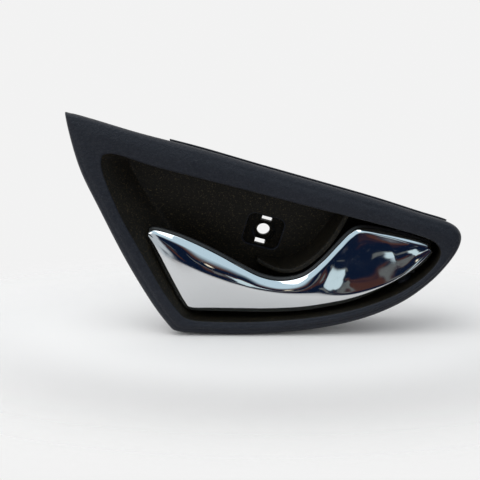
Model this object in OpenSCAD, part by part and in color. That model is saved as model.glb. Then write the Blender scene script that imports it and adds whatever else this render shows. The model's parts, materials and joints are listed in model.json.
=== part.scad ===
// Car interior door handle: a trim housing with a finger cup, and a sprung pull lever.
// The origin is the centre of the face that the fixing screw's head bears on. +X runs to
// the rounded nose, +Z is up, and the user is on the -Y side.

/* [Bezel] */
// Length of the bezel from its pointed end to its nose
bezel_w = 210; // [200:1:225]
// Height of the bezel
bezel_h = 120; // [115:1:130]
// Radius of the bezel's outer edge
edge_r = 3.5; // [3:0.1:3.9]
// Fall of the outer edge behind the rim's crown
edge_drop = 5; // [4:0.5:6]
// Radius of the lip that rolls into the cup
lip_r = 1.6; // [1.2:0.1:2]
// Depth of the skirt behind the crown
skirt_h = 12; // [10:0.5:13]
// Thickness of the skirt
skirt_wall = 2; // [1.6:0.1:2.4]
// Thickness of the moulding
wall = 2.5; // [2:0.1:2.8]
// Height of the flange that stands proud of the top edge
flange_proud = 0.5; // [0.3:0.1:1]

/* [Cup] */
// Depth of the cup from the rim to its floor at the screw
cup_depth = 25; // [23:0.5:29]
// Lean of the cup floor, its top edge nearer to the user
floor_tilt = 13; // [11:0.5:15]
// Width of the ridge between the cup and the lever's bay
ridge_w = 2.6; // [2:0.1:3]
// Depth of the ridge's top below the rim
ridge_drop = 8.5; // [8:0.5:10]

/* [Screw seat] */
// Radius of the hole for the fixing screw
screw_hole_r = 3.6; // [2.5:0.1:4]
// Radius of the outer step round the hole
seat_outer_r = 6.8; // [6.2:0.1:7.2]
// Radius of the inner step round the hole
seat_inner_r = 5; // [4.5:0.1:5.8]
// Depth of each step
seat_step = 0.7; // [0.5:0.1:0.9]
// Radius of the boss behind the hole
boss_r = 8.4; // [8:0.1:9.5]
// Thickness of the wall that the screw clamps
seat_t = 1.8; // [1.6:0.1:4]
// Width of the shallow pocket for the screw cover
pocket_w = 21; // [19:0.5:23]
// Height of the pocket
pocket_h = 19; // [18:0.5:21]
// Corner radius of the pocket
pocket_r = 4; // [2:0.5:5]
// Depth of the pocket
pocket_depth = 1.6; // [1:0.1:2]
// Turn of the pocket in the plane of the floor
pocket_turn = 16; // [12:1:20]
// Length of each slot for the cover's hooks
slot_w = 6; // [4:0.5:7]
// Height of each slot
slot_h = 3; // [2:0.1:3.4]

/* [Lever] */
// Thickness of the plated shell
shell_t = 1.5; // [1.2:0.1:1.7]
// Gap between the shell and the carrier
shell_gap = 0.2; // [0.15:0.05:0.3]
// Thickness of the carrier
carrier_t = 2.4; // [2:0.1:2.6]
// Reach of the carrier past the shell's upper edge
carrier_lip = 1.3; // [0.8:0.1:1.5]
// Swing of the lever from rest to open
open_angle = 22; // [15:1:22]

/* [Hinge] */
// Distance from the nose to the hinge axis
nose_to_hinge = 27; // [25:0.5:29]
// Depth of the hinge axis below the rim
hinge_drop = 15.6; // [15.2:0.1:16.4]
// Radius of the hinge pin
pin_r = 2; // [1.5:0.1:2.2]
// Radial clearance of the pin in the bushes
pin_fit = 0.04; // [0.02:0.01:0.1]
// Wall of a pivot bush
bush_wall = 1.4; // [1:0.1:1.6]
// Thickness of a bush's flange
bush_flange_t = 0.8; // [0.6:0.1:1]
// Radius of a hinge lug
lug_r = 5.4; // [5.2:0.1:5.7]
// Thickness of a hinge lug
lug_t = 4; // [3.5:0.1:4.4]
// Distance between the outer faces of the two lugs
lug_span = 17; // [16.5:0.1:17.4]
// Wire radius of the return spring
wire_r = 0.55; // [0.4:0.05:0.6]
// Mean radius of the return spring
coil_r = 4.3; // [4.2:0.1:4.5]
// Turns of the return spring
coil_turns = 5; // [4:1:6]

/* [Latch cable] */
// Distance from the hinge axis back to the cable eye
arm_reach = 25; // [22:0.5:27]
// Width of the crank arm
arm_w = 7; // [6:0.5:7.5]
// Radius of the hole for the cable's end
eye_r = 1.6; // [1.2:0.1:1.8]
// Radius of the seat for the cable's sheath
sheath_r = 3; // [2:0.1:3.2]
// Thickness of the sheath bracket
bracket_t = 5; // [4:0.5:6]

/* [Fixings] */
// Radius of a locating peg
peg_r = 2.2; // [1.6:0.1:2.4]
// Reach of a locating peg behind the screw seat
peg_back = 5; // [4:0.5:9]
// Length of a locating peg beyond its thick root
peg_length = 11; // [8:0.5:12]
// Reach of a clip tower behind the screw seat
tower_back = 3; // [2:0.5:7]
// Thickness of a panel clip's sheet steel
clip_t = 0.5; // [0.4:0.1:0.6]
// Thickness of a felt pad
felt_t = 2; // [1:0.5:3]

/* [Hidden] */

touch = 0.02;         // gap between faces that rest on each other
loose = 0.15;         // gap of a pushed-on piece
clear = 0.3;          // gap of a piece that moves
seat_depth = pocket_depth + 2*seat_step;         // from the cup floor to the screw's face
boss_back = seat_depth + seat_t;
seat_fit = 0.05;      // seam round the screw seat
rim_y = -seat_depth/cos(floor_tilt) - cup_depth; // plane of the rim's crown
steps = 3;            // curve points for each outline point

// Outlines are in hundredths of the bezel's length and height, seen from the user.
outer_points = [
    [-49.5, 53.5], [-48.4, 55.2], [-43, 52.8], [-31.2, 46.6], [-16.3, 39.8], [-1.2, 32.1],
    [13.9, 24.6], [28, 17.5], [39.5, 11.1], [46.8, 7.1], [49.8, 3], [50.1, -2.5], [47.8, -10.3],
    [42.9, -20.3], [35.4, -30.2], [25.1, -37.9], [12.1, -42.8], [-3.6, -45], [-16.7, -44.6],
    [-22.7, -43.6], [-25.1, -40.3], [-29.6, -29], [-35.8, -9.6], [-41.8, 12.5], [-46.7, 32.1]
];
lip_points = [
    [-40.7, 35.1], [-39.6, 37.5], [-36.1, 37.1], [-28.2, 32.5], [-16.3, 27], [-2.5, 20.8],
    [11.4, 14.4], [24.6, 8.5], [35.1, 3.6], [41.8, -0.3], [44.1, -3.2], [44.8, -7.4], [43, -13.3],
    [38.7, -20.3], [32.4, -26.8], [23.5, -32.4], [11.9, -36.4], [-2.4, -38.3], [-15.3, -38.1],
    [-19.7, -36.9], [-21.8, -34.1], [-26.1, -23.5], [-31, -7.4], [-36.5, 11.2], [-40.2, 28.1]
];
foot_points = [
    [-34.8, 33.6], [-34.3, 35.3], [-32.9, 35], [-26.7, 31.1], [-16, 25.5], [-2.5, 19.3],
    [11.1, 13], [24.3, 7.2], [34.8, 2.7], [41.4, -0.8], [44.9, -3.2], [45.9, -7.4], [43.7, -13.2],
    [38.3, -19.4], [31.7, -25.5], [23, -30.8], [11.7, -34.7], [-2.4, -36.5], [-11.4, -36.2],
    [-13.3, -35.3], [-14.3, -32.1], [-18.1, -17.1], [-22.9, -3.8], [-28.1, 10.4], [-33.1, 25.8]
];
ridge_top_points = [
    [21.2, 9.6], [18.4, 0.5], [15.6, -6], [12.5, -11.1], [9.1, -15.2], [5.6, -17], [2, -16.3], [-1.7, -14]
];
ridge_foot_points = [
    [19.8, 10.7], [17.2, 4.6], [14.3, -2.5], [11.2, -8.4], [7.7, -12.2], [4.7, -14], [1.5, -13.6], [-2.1, -11.9]
];
ridge_sink = [0, 0, 0, 0, 0.5, 3, 8, 15];

// Curves along the lever: hundredths of length and height, then the drop below the rim.
lever_top = [
    [-29.8, 2.3, 7.5], [-28.1, 3.2, 6.4], [-25.3, 2.3, 5.4], [-21.2, 0, 4.8], [-16, -4.1, 4.4],
    [-10.9, -8.7, 4.2], [-5.7, -13.9, 4.4], [-0.5, -18.4, 5.2], [4.9, -20.1, 6], [10.4, -18, 6.8],
    [15, -11.6, 7.2], [19, -4, 7.4], [22.1, 1.6, 7.4], [25.1, 3.9, 7.4], [31, 2.5, 7.4],
    [37.5, -0.4, 7.4], [42.7, -3.2, 7.6]
];
lever_bevel = [
    [-29.9, 1.7, 7], [-27.9, 1.6, 5.2], [-24.9, 0, 4], [-21, -2.8, 3], [-16.5, -6.7, 2.6],
    [-11.6, -10.8, 2.6], [-6.2, -15.5, 3], [-0.8, -19.8, 3.8], [4.9, -21.7, 4.6],
    [10.6, -19.9, 5.2], [15.7, -13.2, 5.6], [19.9, -5.6, 5.8], [22.9, -0.2, 6], [25.4, 2, 6],
    [31.2, 0.1, 6], [37.4, -2.8, 6.2], [42.4, -5.1, 6.8]
];
lever_crease = [
    [-30, 1.3, 7], [-27.8, -1.6, 5], [-25.2, -5.9, 3.5], [-22.1, -9.7, 2], [-18.2, -13, 0.8],
    [-13.9, -16.6, 0.5], [-8.8, -20.4, 1], [-3.2, -23.6, 2], [4.1, -25.9, 3], [10.6, -26.3, 3.5],
    [16.5, -26.3, 3.8], [21.7, -25.9, 4], [26.4, -24.3, 4], [31.2, -21.3, 4], [35.8, -16.7, 4.5],
    [39.6, -11.5, 5.2], [43.1, -6, 6.6]
];
lever_bottom = [
    [-30.1, 0.3, 7], [-29.1, -3.7, 6.5], [-26.6, -13.1, 6], [-23.9, -22.9, 6], [-21.5, -30.5, 6],
    [-19.3, -33.9, 6], [-14.1, -34.5, 6], [-6.2, -34.9, 6], [1.6, -35.1, 6], [9.4, -34.5, 6],
    [15.9, -32.8, 6], [21.9, -30.5, 6], [27.1, -27.2, 6], [32.2, -22.7, 6], [37, -17.8, 6.2],
    [41.3, -12.3, 6.6], [43.7, -7, 7]
];
lower_crown = 0.6;    // swell of the lever's lower face
upper_crown = 0.4;    // swell of its upper face
// Rows across the lever: lower curve, upper curve, share of the way, swell
lever_rows = [
    [lever_bottom, lever_crease, 0, 0], [lever_bottom, lever_crease, 1/3, lower_crown],
    [lever_bottom, lever_crease, 2/3, lower_crown], [lever_crease, lever_bevel, 0, 0],
    [lever_crease, lever_bevel, 1/4, upper_crown], [lever_crease, lever_bevel, 1/2, upper_crown],
    [lever_crease, lever_bevel, 3/4, upper_crown], [lever_bevel, lever_top, 0, 0],
    [lever_bevel, lever_top, 1, 0]
];
crease_row = 3;
middle_row = 5;

hinge_x = bezel_w/2 - nose_to_hinge;
hinge_y = rim_y + hinge_drop;
hinge_z = -0.1*bezel_h;
lug_face = lug_span/2;                       // outer face of a lug, from the hinge's middle
ear_face = lug_face + bush_flange_t + clear; // inner face of an ear
lug_bore_r = pin_r + pin_fit + bush_wall;
coil_room = 2*(lug_face - lug_t - clear - wire_r); // from the first coil's middle to the last's
spring_leg = 9;
ear_wall = 2;
ear_r = pin_r + ear_wall;
pin_head_r = 3.4;
pin_head_t = 1.5;
ring_t = 0.8;
ring_r = pin_r + 1.2;
flange_r = lug_bore_r + 1.2;
groove_depth = 0.4;

pad_r = 3.6;          // screw pads on the carrier's back
pad_depth = 9.5;
pad_floor = 2.3;
post_r = 2.4;         // posts on the shell's back
post_start = 0.8;
shank_r = 1.4;
shank_fit = 0.05;
screw_head_r = 3.2;
screw_head_t = 1.8;
screw_stations = [[4, crease_row], [9, crease_row], [12, middle_row]];

window_side = 1;      // room beside the crank arm
arm_z = hinge_z + lug_face - lug_t;
eye_y = hinge_y + arm_reach;
eye_wall = 2;
eye_bush_wall = 1;
eye_bush_r = eye_r + eye_bush_wall;
buffer_r = 3;
buffer_t = 3;
stem_r = 1.2;
stem_h = 3;
buffer_station = [13, middle_row];
felt_upper = [-0.165*bezel_w, 0.09*bezel_h, 26, 10];
felt_lower = [0.02*bezel_w, -0.26*bezel_h, 30, 9];
// Clip towers and pegs: place in hundredths, then the turn of a tower
clip_places = [[-43.6, 43.4, 17], [5, 22.8, 17], [29.5, 11.4, 17], [-36.4, 0.5, 64]];
peg_places = [[-41.8, 22.5], [48, 0]];
tower_w = 7;
tower_t = 2;
peg_root = peg_back - peg_length;
rib_places = [10, 20, 34, 46, 52, 68];
rib_t = 1.4;

function unit(v) = v/norm(v);
function spline(a, b, c, d, t) =
    (2*b + (c - a)*t + (2*a - 5*b + 4*c - d)*t*t + (3*b - a - 3*c + d)*t*t*t)/2;
function closed_curve(p) = let (n = len(p))
    [for (i = [0:n - 1], s = [0:steps - 1])
        spline(p[(i + n - 1)%n], p[i], p[(i + 1)%n], p[(i + 2)%n], s/steps)];
function open_curve(p) = let (n = len(p))
    [for (i = [0:n - 2], s = [0:steps - 1])
        spline(p[max(i - 1, 0)], p[i], p[i + 1], p[min(i + 2, n - 1)], s/steps), p[n - 1]];
function sized(p) = [for (q = p) [q[0]*bezel_w/100, q[1]*bezel_h/100]];
function floor_y(z) = -z*tan(floor_tilt) - seat_depth/cos(floor_tilt);
function in_space(p, y) = [p[0], y, p[1]];
function reversed(list) = [for (i = [len(list) - 1:-1:0]) list[i]];

outer = closed_curve(sized(outer_points));
lip = closed_curve(sized(lip_points));
foot = closed_curve(sized(foot_points));
inward = [for (i = [0:len(outer) - 1]) unit(lip[i] - outer[i])];
function from_edge(d, y) = [for (i = [0:len(outer) - 1]) in_space(outer[i] + inward[i]*d, y)];
function from_lip(d, y) = [for (i = [0:len(outer) - 1]) in_space(lip[i] - inward[i]*d, y)];
function down_wall(w, d, back) = [for (i = [0:len(outer) - 1])
    let (p = lip[i] + (foot[i] - lip[i])*w - inward[i]*d, top = rim_y + lip_r)
    in_space(p, top + (floor_y(p[1]) - top)*w + back)];
// Height of the cup's opening at a place along the length
lip_above = [for (i = [2*steps:11*steps]) lip[i]];
lip_below = [for (i = [11*steps:19*steps]) lip[i]];

// Points on the lever's front, by station along it and row across it
lever_curves = [for (r = lever_rows) [open_curve(r[0]), open_curve(r[1]), r[2], r[3]]];
stations = (len(lever_top) - 1)*steps;
rows = len(lever_rows) - 1;
function lever_point(i, j) =
    let (r = lever_curves[j], q = r[0][i]*(1 - r[2]) + r[1][i]*r[2], swell = 4*r[3]*r[2]*(1 - r[2]),
        taper = min(1, i/6, (stations - i)/6))
    [q[0]*bezel_w/100, rim_y + q[2] - swell*taper, q[1]*bezel_h/100];
function edge_way(i) = unit(lever_point(i, rows) - lever_point(i, rows - 1));
// Depth is measured straight back from the lever's front
function lever_inside(i, j, depth, lip) =
    lever_point(i, j) + [0, depth, 0] + (j == rows ? lip*edge_way(i) : [0, 0, 0]);

// Rings of the housing's surface, from the cup floor over the rim to the back
crown_edge = 1;       // fall of the crown's outer border
lip_edge = 0.4;       // fall of the crown's inner border
skirt_draft = 1.5;
fillet = 2.2;
housing_rings = [
    down_wall(1, -fillet, 0),
    down_wall(0.93, -0.2, 0),
    down_wall(0.5, 0, 0),
    down_wall(0, 0, 0),
    from_lip(lip_r*0.3, rim_y + lip_edge + (lip_r - lip_edge)*0.3),
    from_lip(lip_r, rim_y + lip_edge),
    [for (i = [0:len(outer) - 1]) in_space((outer[i] + lip[i])/2, rim_y)],
    for (a = [90, 60, 30, 0])
        from_edge(edge_r*(1 - cos(a)), rim_y + edge_drop - (edge_drop - crown_edge)*sin(a)),
    from_edge(skirt_draft, rim_y + skirt_h),
    from_edge(skirt_draft + skirt_wall, rim_y + skirt_h),
    from_edge(skirt_wall + 0.4, rim_y + edge_drop + 1),
    from_edge(edge_r + 0.9, rim_y + crown_edge + wall),
    from_lip(wall, rim_y + lip_r + wall),
    down_wall(0.5, wall, 0),
    down_wall(0.95, wall, 0),
    down_wall(1, wall - 1.6, wall/cos(floor_tilt))
];

// Joins rings of equal length into a closed skin with a face at each end
module skin(rings) {
    n = len(rings[0]);
    last = (len(rings) - 1)*n;
    polyhedron(
        points = [for (r = rings, p = r) p],
        faces = [
            [for (i = [n - 1:-1:0]) i],
            for (k = [0:len(rings) - 2], i = [0:n - 1]) let (j = (i + 1)%n)
                each [[k*n + i, k*n + j, (k + 1)*n + j], [k*n + i, (k + 1)*n + j, (k + 1)*n + i]],
            [for (i = [0:n - 1]) last + i]
        ]
    );
}

// A plate in the plane seen by the user, from depth y0 over a thickness t
module slab(y0, t) {
    translate([0, y0 + t, 0]) rotate([90, 0, 0]) linear_extrude(t) children();
}

// A round bar along Y between two depths
module y_bar(x, z, r, y0, y1) {
    translate([x, y1, z]) rotate([90, 0, 0]) cylinder(r = r, h = y1 - y0, $fn = 48);
}

// A round bar along Z between two heights
module z_bar(x, y, r, z0, z1) {
    translate([x, y, z0]) cylinder(r = r, h = z1 - z0, $fn = 48);
}

// Children drawn in the frame of the cup floor, whose normal is -Y
module on_floor() {
    rotate([floor_tilt, 0, 0]) translate([0, -seat_depth, 0]) children();
}

module rounded_plate(w, h, r, y0, y1) {
    slab(y0, y1 - y0) {
        square([w - 2*r, h], center = true);
        square([w, h - 2*r], center = true);
        for (x = [-1, 1], z = [-1, 1]) translate([x*(w/2 - r), z*(h/2 - r)]) circle(r, $fn = 32);
    }
}

module box(low, high) {
    translate(low) cube(high - low);
}

// Ridge between the cup and the lever's bay
module ridge() {
    top = open_curve(sized(ridge_top_points));
    base = open_curve(sized(ridge_foot_points));
    sink = open_curve(ridge_sink);
    n = len(top);
    skin([for (i = [0:n - 1])
        let (
            along = unit(top[min(i + 1, n - 1)] - top[max(i - 1, 0)]),
            side = [-along[1], along[0]]*ridge_w/2,
            y = rim_y + ridge_drop + sink[i],
            root = wall/2
        )
        [
            in_space(base[i], floor_y(base[i][1]) + root),
            in_space(top[i] - side, y),
            in_space(top[i] + side, y),
            in_space(top[i] + side*1.3, floor_y(top[i][1]) + root)
        ]
    ]);
}

// Place halfway between two outline points, inset from the bezel's edge
function edge_middle(i, inset) = (outer[i] + outer[i + 1] + (inward[i] + inward[i + 1])*inset)/2;

// Flange that shows along the top edge, and the small step low on the nose side
module edge_flange() {
    first = 3*steps + 1;
    last = 9*steps;
    slab(rim_y + 9, 1.8)
        polygon([
            for (i = [first:last]) edge_middle(i, -flange_proud),
            for (i = [last:-1:first]) edge_middle(i, skirt_draft + skirt_wall/2)
        ]);
    i = 13*steps;
    slab(rim_y + 8, 3)
        polygon([edge_middle(i, 2), edge_middle(i, -0.9), edge_middle(i + 1, -0.5), edge_middle(i + 1, 2)]);
}

// Ribs from the cup's wall to the skirt
module ribs() {
    for (i = rib_places) {
        side = [-inward[i][1], inward[i][0]]*rib_t/2;
        a = outer[i] + inward[i]*(skirt_draft + skirt_wall/2);
        b = lip[i] - inward[i]*wall/2;
        slab(rim_y + crown_edge + wall/2, skirt_h - crown_edge - wall/2 - 1)
            polygon([a + side, a - side, b - side, b + side]);
    }
}

// Plate of the screw seat, let into the cup floor
module seat_plate(grow, y0, y1) {
    on_floor() rotate([0, pocket_turn, 0])
        rounded_plate(pocket_w + 4 + 2*grow, pocket_h + 4 + 2*grow, pocket_r + 2 + grow, y0, y1);
}

module screw_seat() {
    under = 1;
    color([0.1, 0.1, 0.12])
    difference() {
        union() {
            seat_plate(0, 0, pocket_depth + 2);
            on_floor() y_bar(0, 0, boss_r, pocket_depth + 1, boss_back);
        }
        on_floor() {
            rotate([0, pocket_turn, 0]) {
                rounded_plate(pocket_w, pocket_h, pocket_r, -under, pocket_depth);
                for (s = [-1, 1])
                    translate([0, 0, s*(seat_inner_r + slot_h/2 + 0.6)])
                        box([-slot_w/2, -under, -slot_h/2], [slot_w/2, boss_back + under, slot_h/2]);
            }
            y_bar(0, 0, seat_outer_r, pocket_depth - under, pocket_depth + seat_step);
            y_bar(0, 0, seat_inner_r, pocket_depth, pocket_depth + 2*seat_step);
            y_bar(0, 0, screw_hole_r, pocket_depth, boss_back + under);
        }
    }
}

// Ears that hold the hinge pin, each with a web down to the floor
ear_top_end = lookup(hinge_x - pin_head_r, lip_above) + wall + 0.6;
ear_bottom_end = lookup(hinge_x - pin_head_r, lip_below) - wall - 0.6;
module ears() {
    for (e = [[hinge_z + ear_face, ear_top_end], [ear_bottom_end, hinge_z - ear_face]]) {
        z_bar(hinge_x, hinge_y, ear_r, e[0], e[1]);
        box([hinge_x - ear_r, hinge_y, e[0]], [hinge_x + ear_r, floor_y(e[0]) + wall/2, e[1]]);
    }
}

// Window in the floor for the crank arm, wide enough for its swing
window_left = hinge_x - (wall + 3 - hinge_y)*sin(open_angle) - arm_w/2/cos(open_angle) - window_side;
window_right = hinge_x + arm_w/2 + window_side;
window_low = arm_z - window_side;
window_high = hinge_z + ear_face;
module arm_window() {
    box([window_left, floor_y(window_high) - 2, window_low],
        [window_right, floor_y(window_low) + wall + 2, window_high]);
}

buffer_at = lever_point(buffer_station[0]*steps, buffer_station[1]);
buffer_y = buffer_at[1] + shell_t + shell_gap + carrier_t + 2*clear;
module buffer_post() {
    y_bar(buffer_at[0], buffer_at[2], buffer_r + 0.5, buffer_y + buffer_t,
        floor_y(buffer_at[2]) + wall/2);
}

// Stop on the floor for the return spring's rear leg
module spring_stop() {
    low = hinge_z - coil_room/2 - 1;
    box([hinge_x + lug_r + 0.6, hinge_y + coil_r + wire_r + touch, low],
        [hinge_x + spring_leg, floor_y(low) + wall/2, low + 2]);
}

// Bracket behind the floor that seats the cable's sheath
bracket_x = window_right + 3.5;
bracket_z = hinge_z + lug_face - lug_t/2;
bracket_half = sheath_r + 3;
bracket_back = eye_y + sheath_r + 3;
module cable_bracket() {
    difference() {
        box([bracket_x, floor_y(bracket_z) + wall/2, bracket_z - bracket_half],
            [bracket_x + bracket_t, bracket_back, bracket_z + bracket_half]);
        sheath_seat();
    }
}
module sheath_seat() {
    translate([bracket_x - 1, eye_y, bracket_z]) rotate([0, 90, 0])
        cylinder(r = sheath_r, h = bracket_t + 2, $fn = 48);
    box([bracket_x - 1, eye_y, bracket_z - sheath_r*0.8],
        [bracket_x + bracket_t + 1, bracket_back + 1, bracket_z + sheath_r*0.8]);
}

module at_clip(place) {
    translate([place[0]*bezel_w/100, 0, place[1]*bezel_h/100]) rotate([0, place[2], 0]) children();
}

// Free-form pieces of the moulding, joined as one surface of facets at their own size
module moulding() {
    resize([0, 0, 0]) union() children();
}

module housing() {
    color([0.1, 0.1, 0.12])
    difference() {
        union() {
            moulding() difference() {
                union() {
                    skin(reversed(housing_rings));
                    ridge();
                    edge_flange();
                    ribs();
                    for (c = clip_places)
                        at_clip(c)
                            box([-tower_w/2, rim_y + wall/2 + 1, -tower_t/2], [tower_w/2, tower_back, tower_t/2]);
                    for (p = peg_places)
                        y_bar(p[0]*bezel_w/100, p[1]*bezel_h/100, peg_r + 0.8, rim_y + wall/2 + 1, peg_root);
                    ears();
                    buffer_post();
                    cable_bracket();
                    spring_stop();
                }
                seat_plate(seat_fit, -1, 2*wall);
                arm_window();
                y_bar(buffer_at[0], buffer_at[2], stem_r + touch, buffer_y, buffer_y + buffer_t + stem_h + touch);
            }
            for (p = peg_places)
                y_bar(p[0]*bezel_w/100, p[1]*bezel_h/100, peg_r, peg_root - 2, peg_back);
        }
        z_bar(hinge_x, hinge_y, pin_r + touch, ear_bottom_end - 1, ear_top_end + 1);
    }
}

// A leaf between two depths behind the lever's front
module leaf(front, back, lip) {
    n = rows + 1;
    ring = 2*n;
    skin([for (i = [0:stations]) [
        for (j = [0:rows]) lever_inside(i, j, front, lip),
        for (j = [rows:-1:0]) lever_inside(i, j, back, lip)
    ]]);
}

// Room inside the cup, a gap away from its wall
module cup_room(gap) {
    before = 20;
    skin(reversed([from_lip(-gap, rim_y - before), down_wall(0, -gap, 0), down_wall(1, -gap, 0)]));
}

module lever_shell() {
    color([0.85, 0.86, 0.88])
    moulding() difference() {
        union() {
            leaf(0, shell_t, 0);
            for (s = screw_stations) {
                p = lever_point(s[0]*steps, s[1]);
                y_bar(p[0], p[2], post_r, p[1] + post_start, p[1] + pad_depth - pad_floor - loose);
            }
        }
        for (s = screw_stations) {
            p = lever_point(s[0]*steps, s[1]);
            y_bar(p[0], p[2], shank_r + shank_fit, p[1] + shell_t + 1, p[1] + pad_depth);
        }
    }
}

module lever_carrier() {
    front = shell_t + shell_gap;
    relief_r = coil_r + wire_r + 2*clear;
    lug_root = lever_point(15*steps, middle_row)[1] + front + carrier_t*0.85;
    color([0.12, 0.12, 0.13])
    difference() {
        moulding() difference() {
            union() {
                difference() {
                    intersection() {
                        leaf(front, front + carrier_t, carrier_lip);
                        cup_room(3*clear);
                    }
                    // window for the spring between the lugs
                    box([hinge_x - relief_r, rim_y, hinge_z - lug_face + lug_t],
                        [hinge_x + relief_r, hinge_y, hinge_z + lug_face - lug_t]);
                    box([hinge_x, hinge_y - coil_r - wire_r - 0.1, hinge_z + coil_room/2 - wire_r - clear],
                        [hinge_x + spring_leg + clear, hinge_y, hinge_z + coil_room/2 + wire_r + clear]);
                    // room for the bushes' flanges and the ears
                    for (s = [0, 1])
                        translate([hinge_x, hinge_y, hinge_z]) mirror([0, 0, s])
                            z_bar(0, 0, max(flange_r, ear_r) + 2*clear, lug_face, 2*lug_face);
                }
                for (s = screw_stations) {
                    p = lever_point(s[0]*steps, s[1]);
                    y_bar(p[0], p[2], pad_r, p[1] + front + carrier_t/2, p[1] + pad_depth);
                }
                for (s = [-1, 1]) {
                    low = hinge_z + (s > 0 ? lug_face - lug_t : -lug_face);
                    z_bar(hinge_x, hinge_y, lug_r, low, low + lug_t);
                    box([hinge_x - lug_r + 1, lug_root, low], [hinge_x + lug_r - 1, hinge_y, low + lug_t]);
                }
                box([hinge_x - arm_w/2, hinge_y, arm_z], [hinge_x + arm_w/2, eye_y, arm_z + lug_t]);
                z_bar(hinge_x, eye_y, eye_bush_r + eye_wall, arm_z, arm_z + lug_t);
            }
            for (s = screw_stations) {
                p = lever_point(s[0]*steps, s[1]);
                y_bar(p[0], p[2], post_r + clear, p[1], p[1] + pad_depth - pad_floor);
                y_bar(p[0], p[2], shank_r + clear, p[1], p[1] + pad_depth + 1);
            }
        }
        z_bar(hinge_x, hinge_y, lug_bore_r + touch, hinge_z - lug_face - 1, hinge_z + lug_face + 1);
        z_bar(hinge_x, eye_y, eye_bush_r + touch, arm_z - 1, arm_z + lug_t + 1);
    }
}

module shell_screw(index) {
    s = screw_stations[index];
    p = lever_point(s[0]*steps, s[1]);
    back = p[1] + pad_depth + touch;
    color([0.55, 0.56, 0.58])
    difference() {
        union() {
            y_bar(p[0], p[2], shank_r, p[1] + shell_t + 1.4, back);
            y_bar(p[0], p[2], screw_head_r, back, back + screw_head_t);
        }
        for (turn = [0, 90])
            translate([p[0], back + screw_head_t, p[2]]) rotate([0, turn, 0])
                cube([screw_head_r*1.2, screw_head_t, 0.7], center = true);
    }
}

module pivot_pin() {
    groove = ear_bottom_end - touch;
    color([0.6, 0.61, 0.63])
    difference() {
        union() {
            z_bar(hinge_x, hinge_y, pin_r, groove - ring_t - 1.2, ear_top_end + touch);
            z_bar(hinge_x, hinge_y, pin_head_r, ear_top_end + touch, ear_top_end + touch + pin_head_t);
        }
        difference() {
            z_bar(hinge_x, hinge_y, pin_r + 1, groove - ring_t - touch, groove);
            z_bar(hinge_x, hinge_y, pin_r - groove_depth, groove - ring_t - 1, groove + 1);
        }
    }
}

module pin_retaining_ring() {
    top = ear_bottom_end - 2*touch;
    mouth = pin_r*1.1;
    color([0.5, 0.5, 0.52])
    difference() {
        z_bar(hinge_x, hinge_y, ring_r, top - ring_t + 2*touch, top);
        z_bar(hinge_x, hinge_y, pin_r - groove_depth + touch, top - ring_t - 1, top + 1);
        box([hinge_x - mouth/2, hinge_y, top - ring_t - 1], [hinge_x + mouth/2, hinge_y + 2*ring_r, top + 1]);
    }
}

// A flanged bush in a lug, its flange outward
module pivot_bush(side) {
    color([0.88, 0.86, 0.78])
    translate([hinge_x, hinge_y, hinge_z]) mirror([0, 0, side > 0 ? 0 : 1])
    difference() {
        union() {
            z_bar(0, 0, lug_bore_r, lug_face - lug_t, lug_face + touch);
            z_bar(0, 0, flange_r, lug_face + touch, lug_face + touch + bush_flange_t);
        }
        z_bar(0, 0, pin_r + pin_fit, 0, lug_face + bush_flange_t + 1);
    }
}

// Torsion spring round the pin, with one leg on the carrier and one on the floor
module return_spring() {
    per_turn = 18;
    sides = 8;
    pitch = coil_room/(coil_turns + 0.5);
    count = round((coil_turns + 0.5)*per_turn);
    start = -coil_room/2;
    helix = [for (i = [0:count]) let (a = 90 + 360*i/per_turn)
        [[coil_r*cos(a), coil_r*sin(a), start + pitch*i/per_turn], [cos(a), sin(a), 0], [-sin(a), cos(a), 0]]];
    first = helix[0];
    last = helix[count];
    route = concat(
        [[first[0] - first[2]*spring_leg, first[1], first[2]]],
        helix,
        [[last[0] + last[2]*spring_leg, last[1], last[2]]]
    );
    color([0.7, 0.71, 0.73])
    translate([hinge_x, hinge_y, hinge_z])
        skin([for (q = route) [for (k = [0:sides - 1]) let (a = 360*k/sides)
            q[0] + q[1]*wire_r*cos(a) + [0, 0, 1]*wire_r*sin(a)]]);
}

module rest_buffer() {
    color([0.2, 0.2, 0.2]) {
        y_bar(buffer_at[0], buffer_at[2], buffer_r, buffer_y, buffer_y + buffer_t - touch);
        y_bar(buffer_at[0], buffer_at[2], stem_r, buffer_y + 1, buffer_y + buffer_t + stem_h);
    }
}

// Rubber block pushed on the window's edge, where the crank arm stops
module open_buffer() {
    grip = 2.5;
    pad = 1.1;
    color([0.2, 0.2, 0.2])
    translate([window_left, floor_y(arm_z + lug_t/2), arm_z + lug_t/2]) rotate([floor_tilt, 0, 0])
    difference() {
        box([-grip, -pad, -lug_t/2 - 0.4], [0.7, wall + pad, lug_t/2 + 0.4]);
        box([-grip - 1, -touch, -lug_t], [touch, wall + touch, lug_t]);
    }
}

module cable_end_bush() {
    color([0.88, 0.86, 0.78])
    difference() {
        union() {
            z_bar(hinge_x, eye_y, eye_bush_r, arm_z - 0.6, arm_z + lug_t + touch);
            z_bar(hinge_x, eye_y, eye_bush_r + 1.2, arm_z + lug_t + touch, arm_z + lug_t + touch + 1);
        }
        z_bar(hinge_x, eye_y, eye_r, arm_z - 1, arm_z + lug_t + 3);
    }
}

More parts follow.
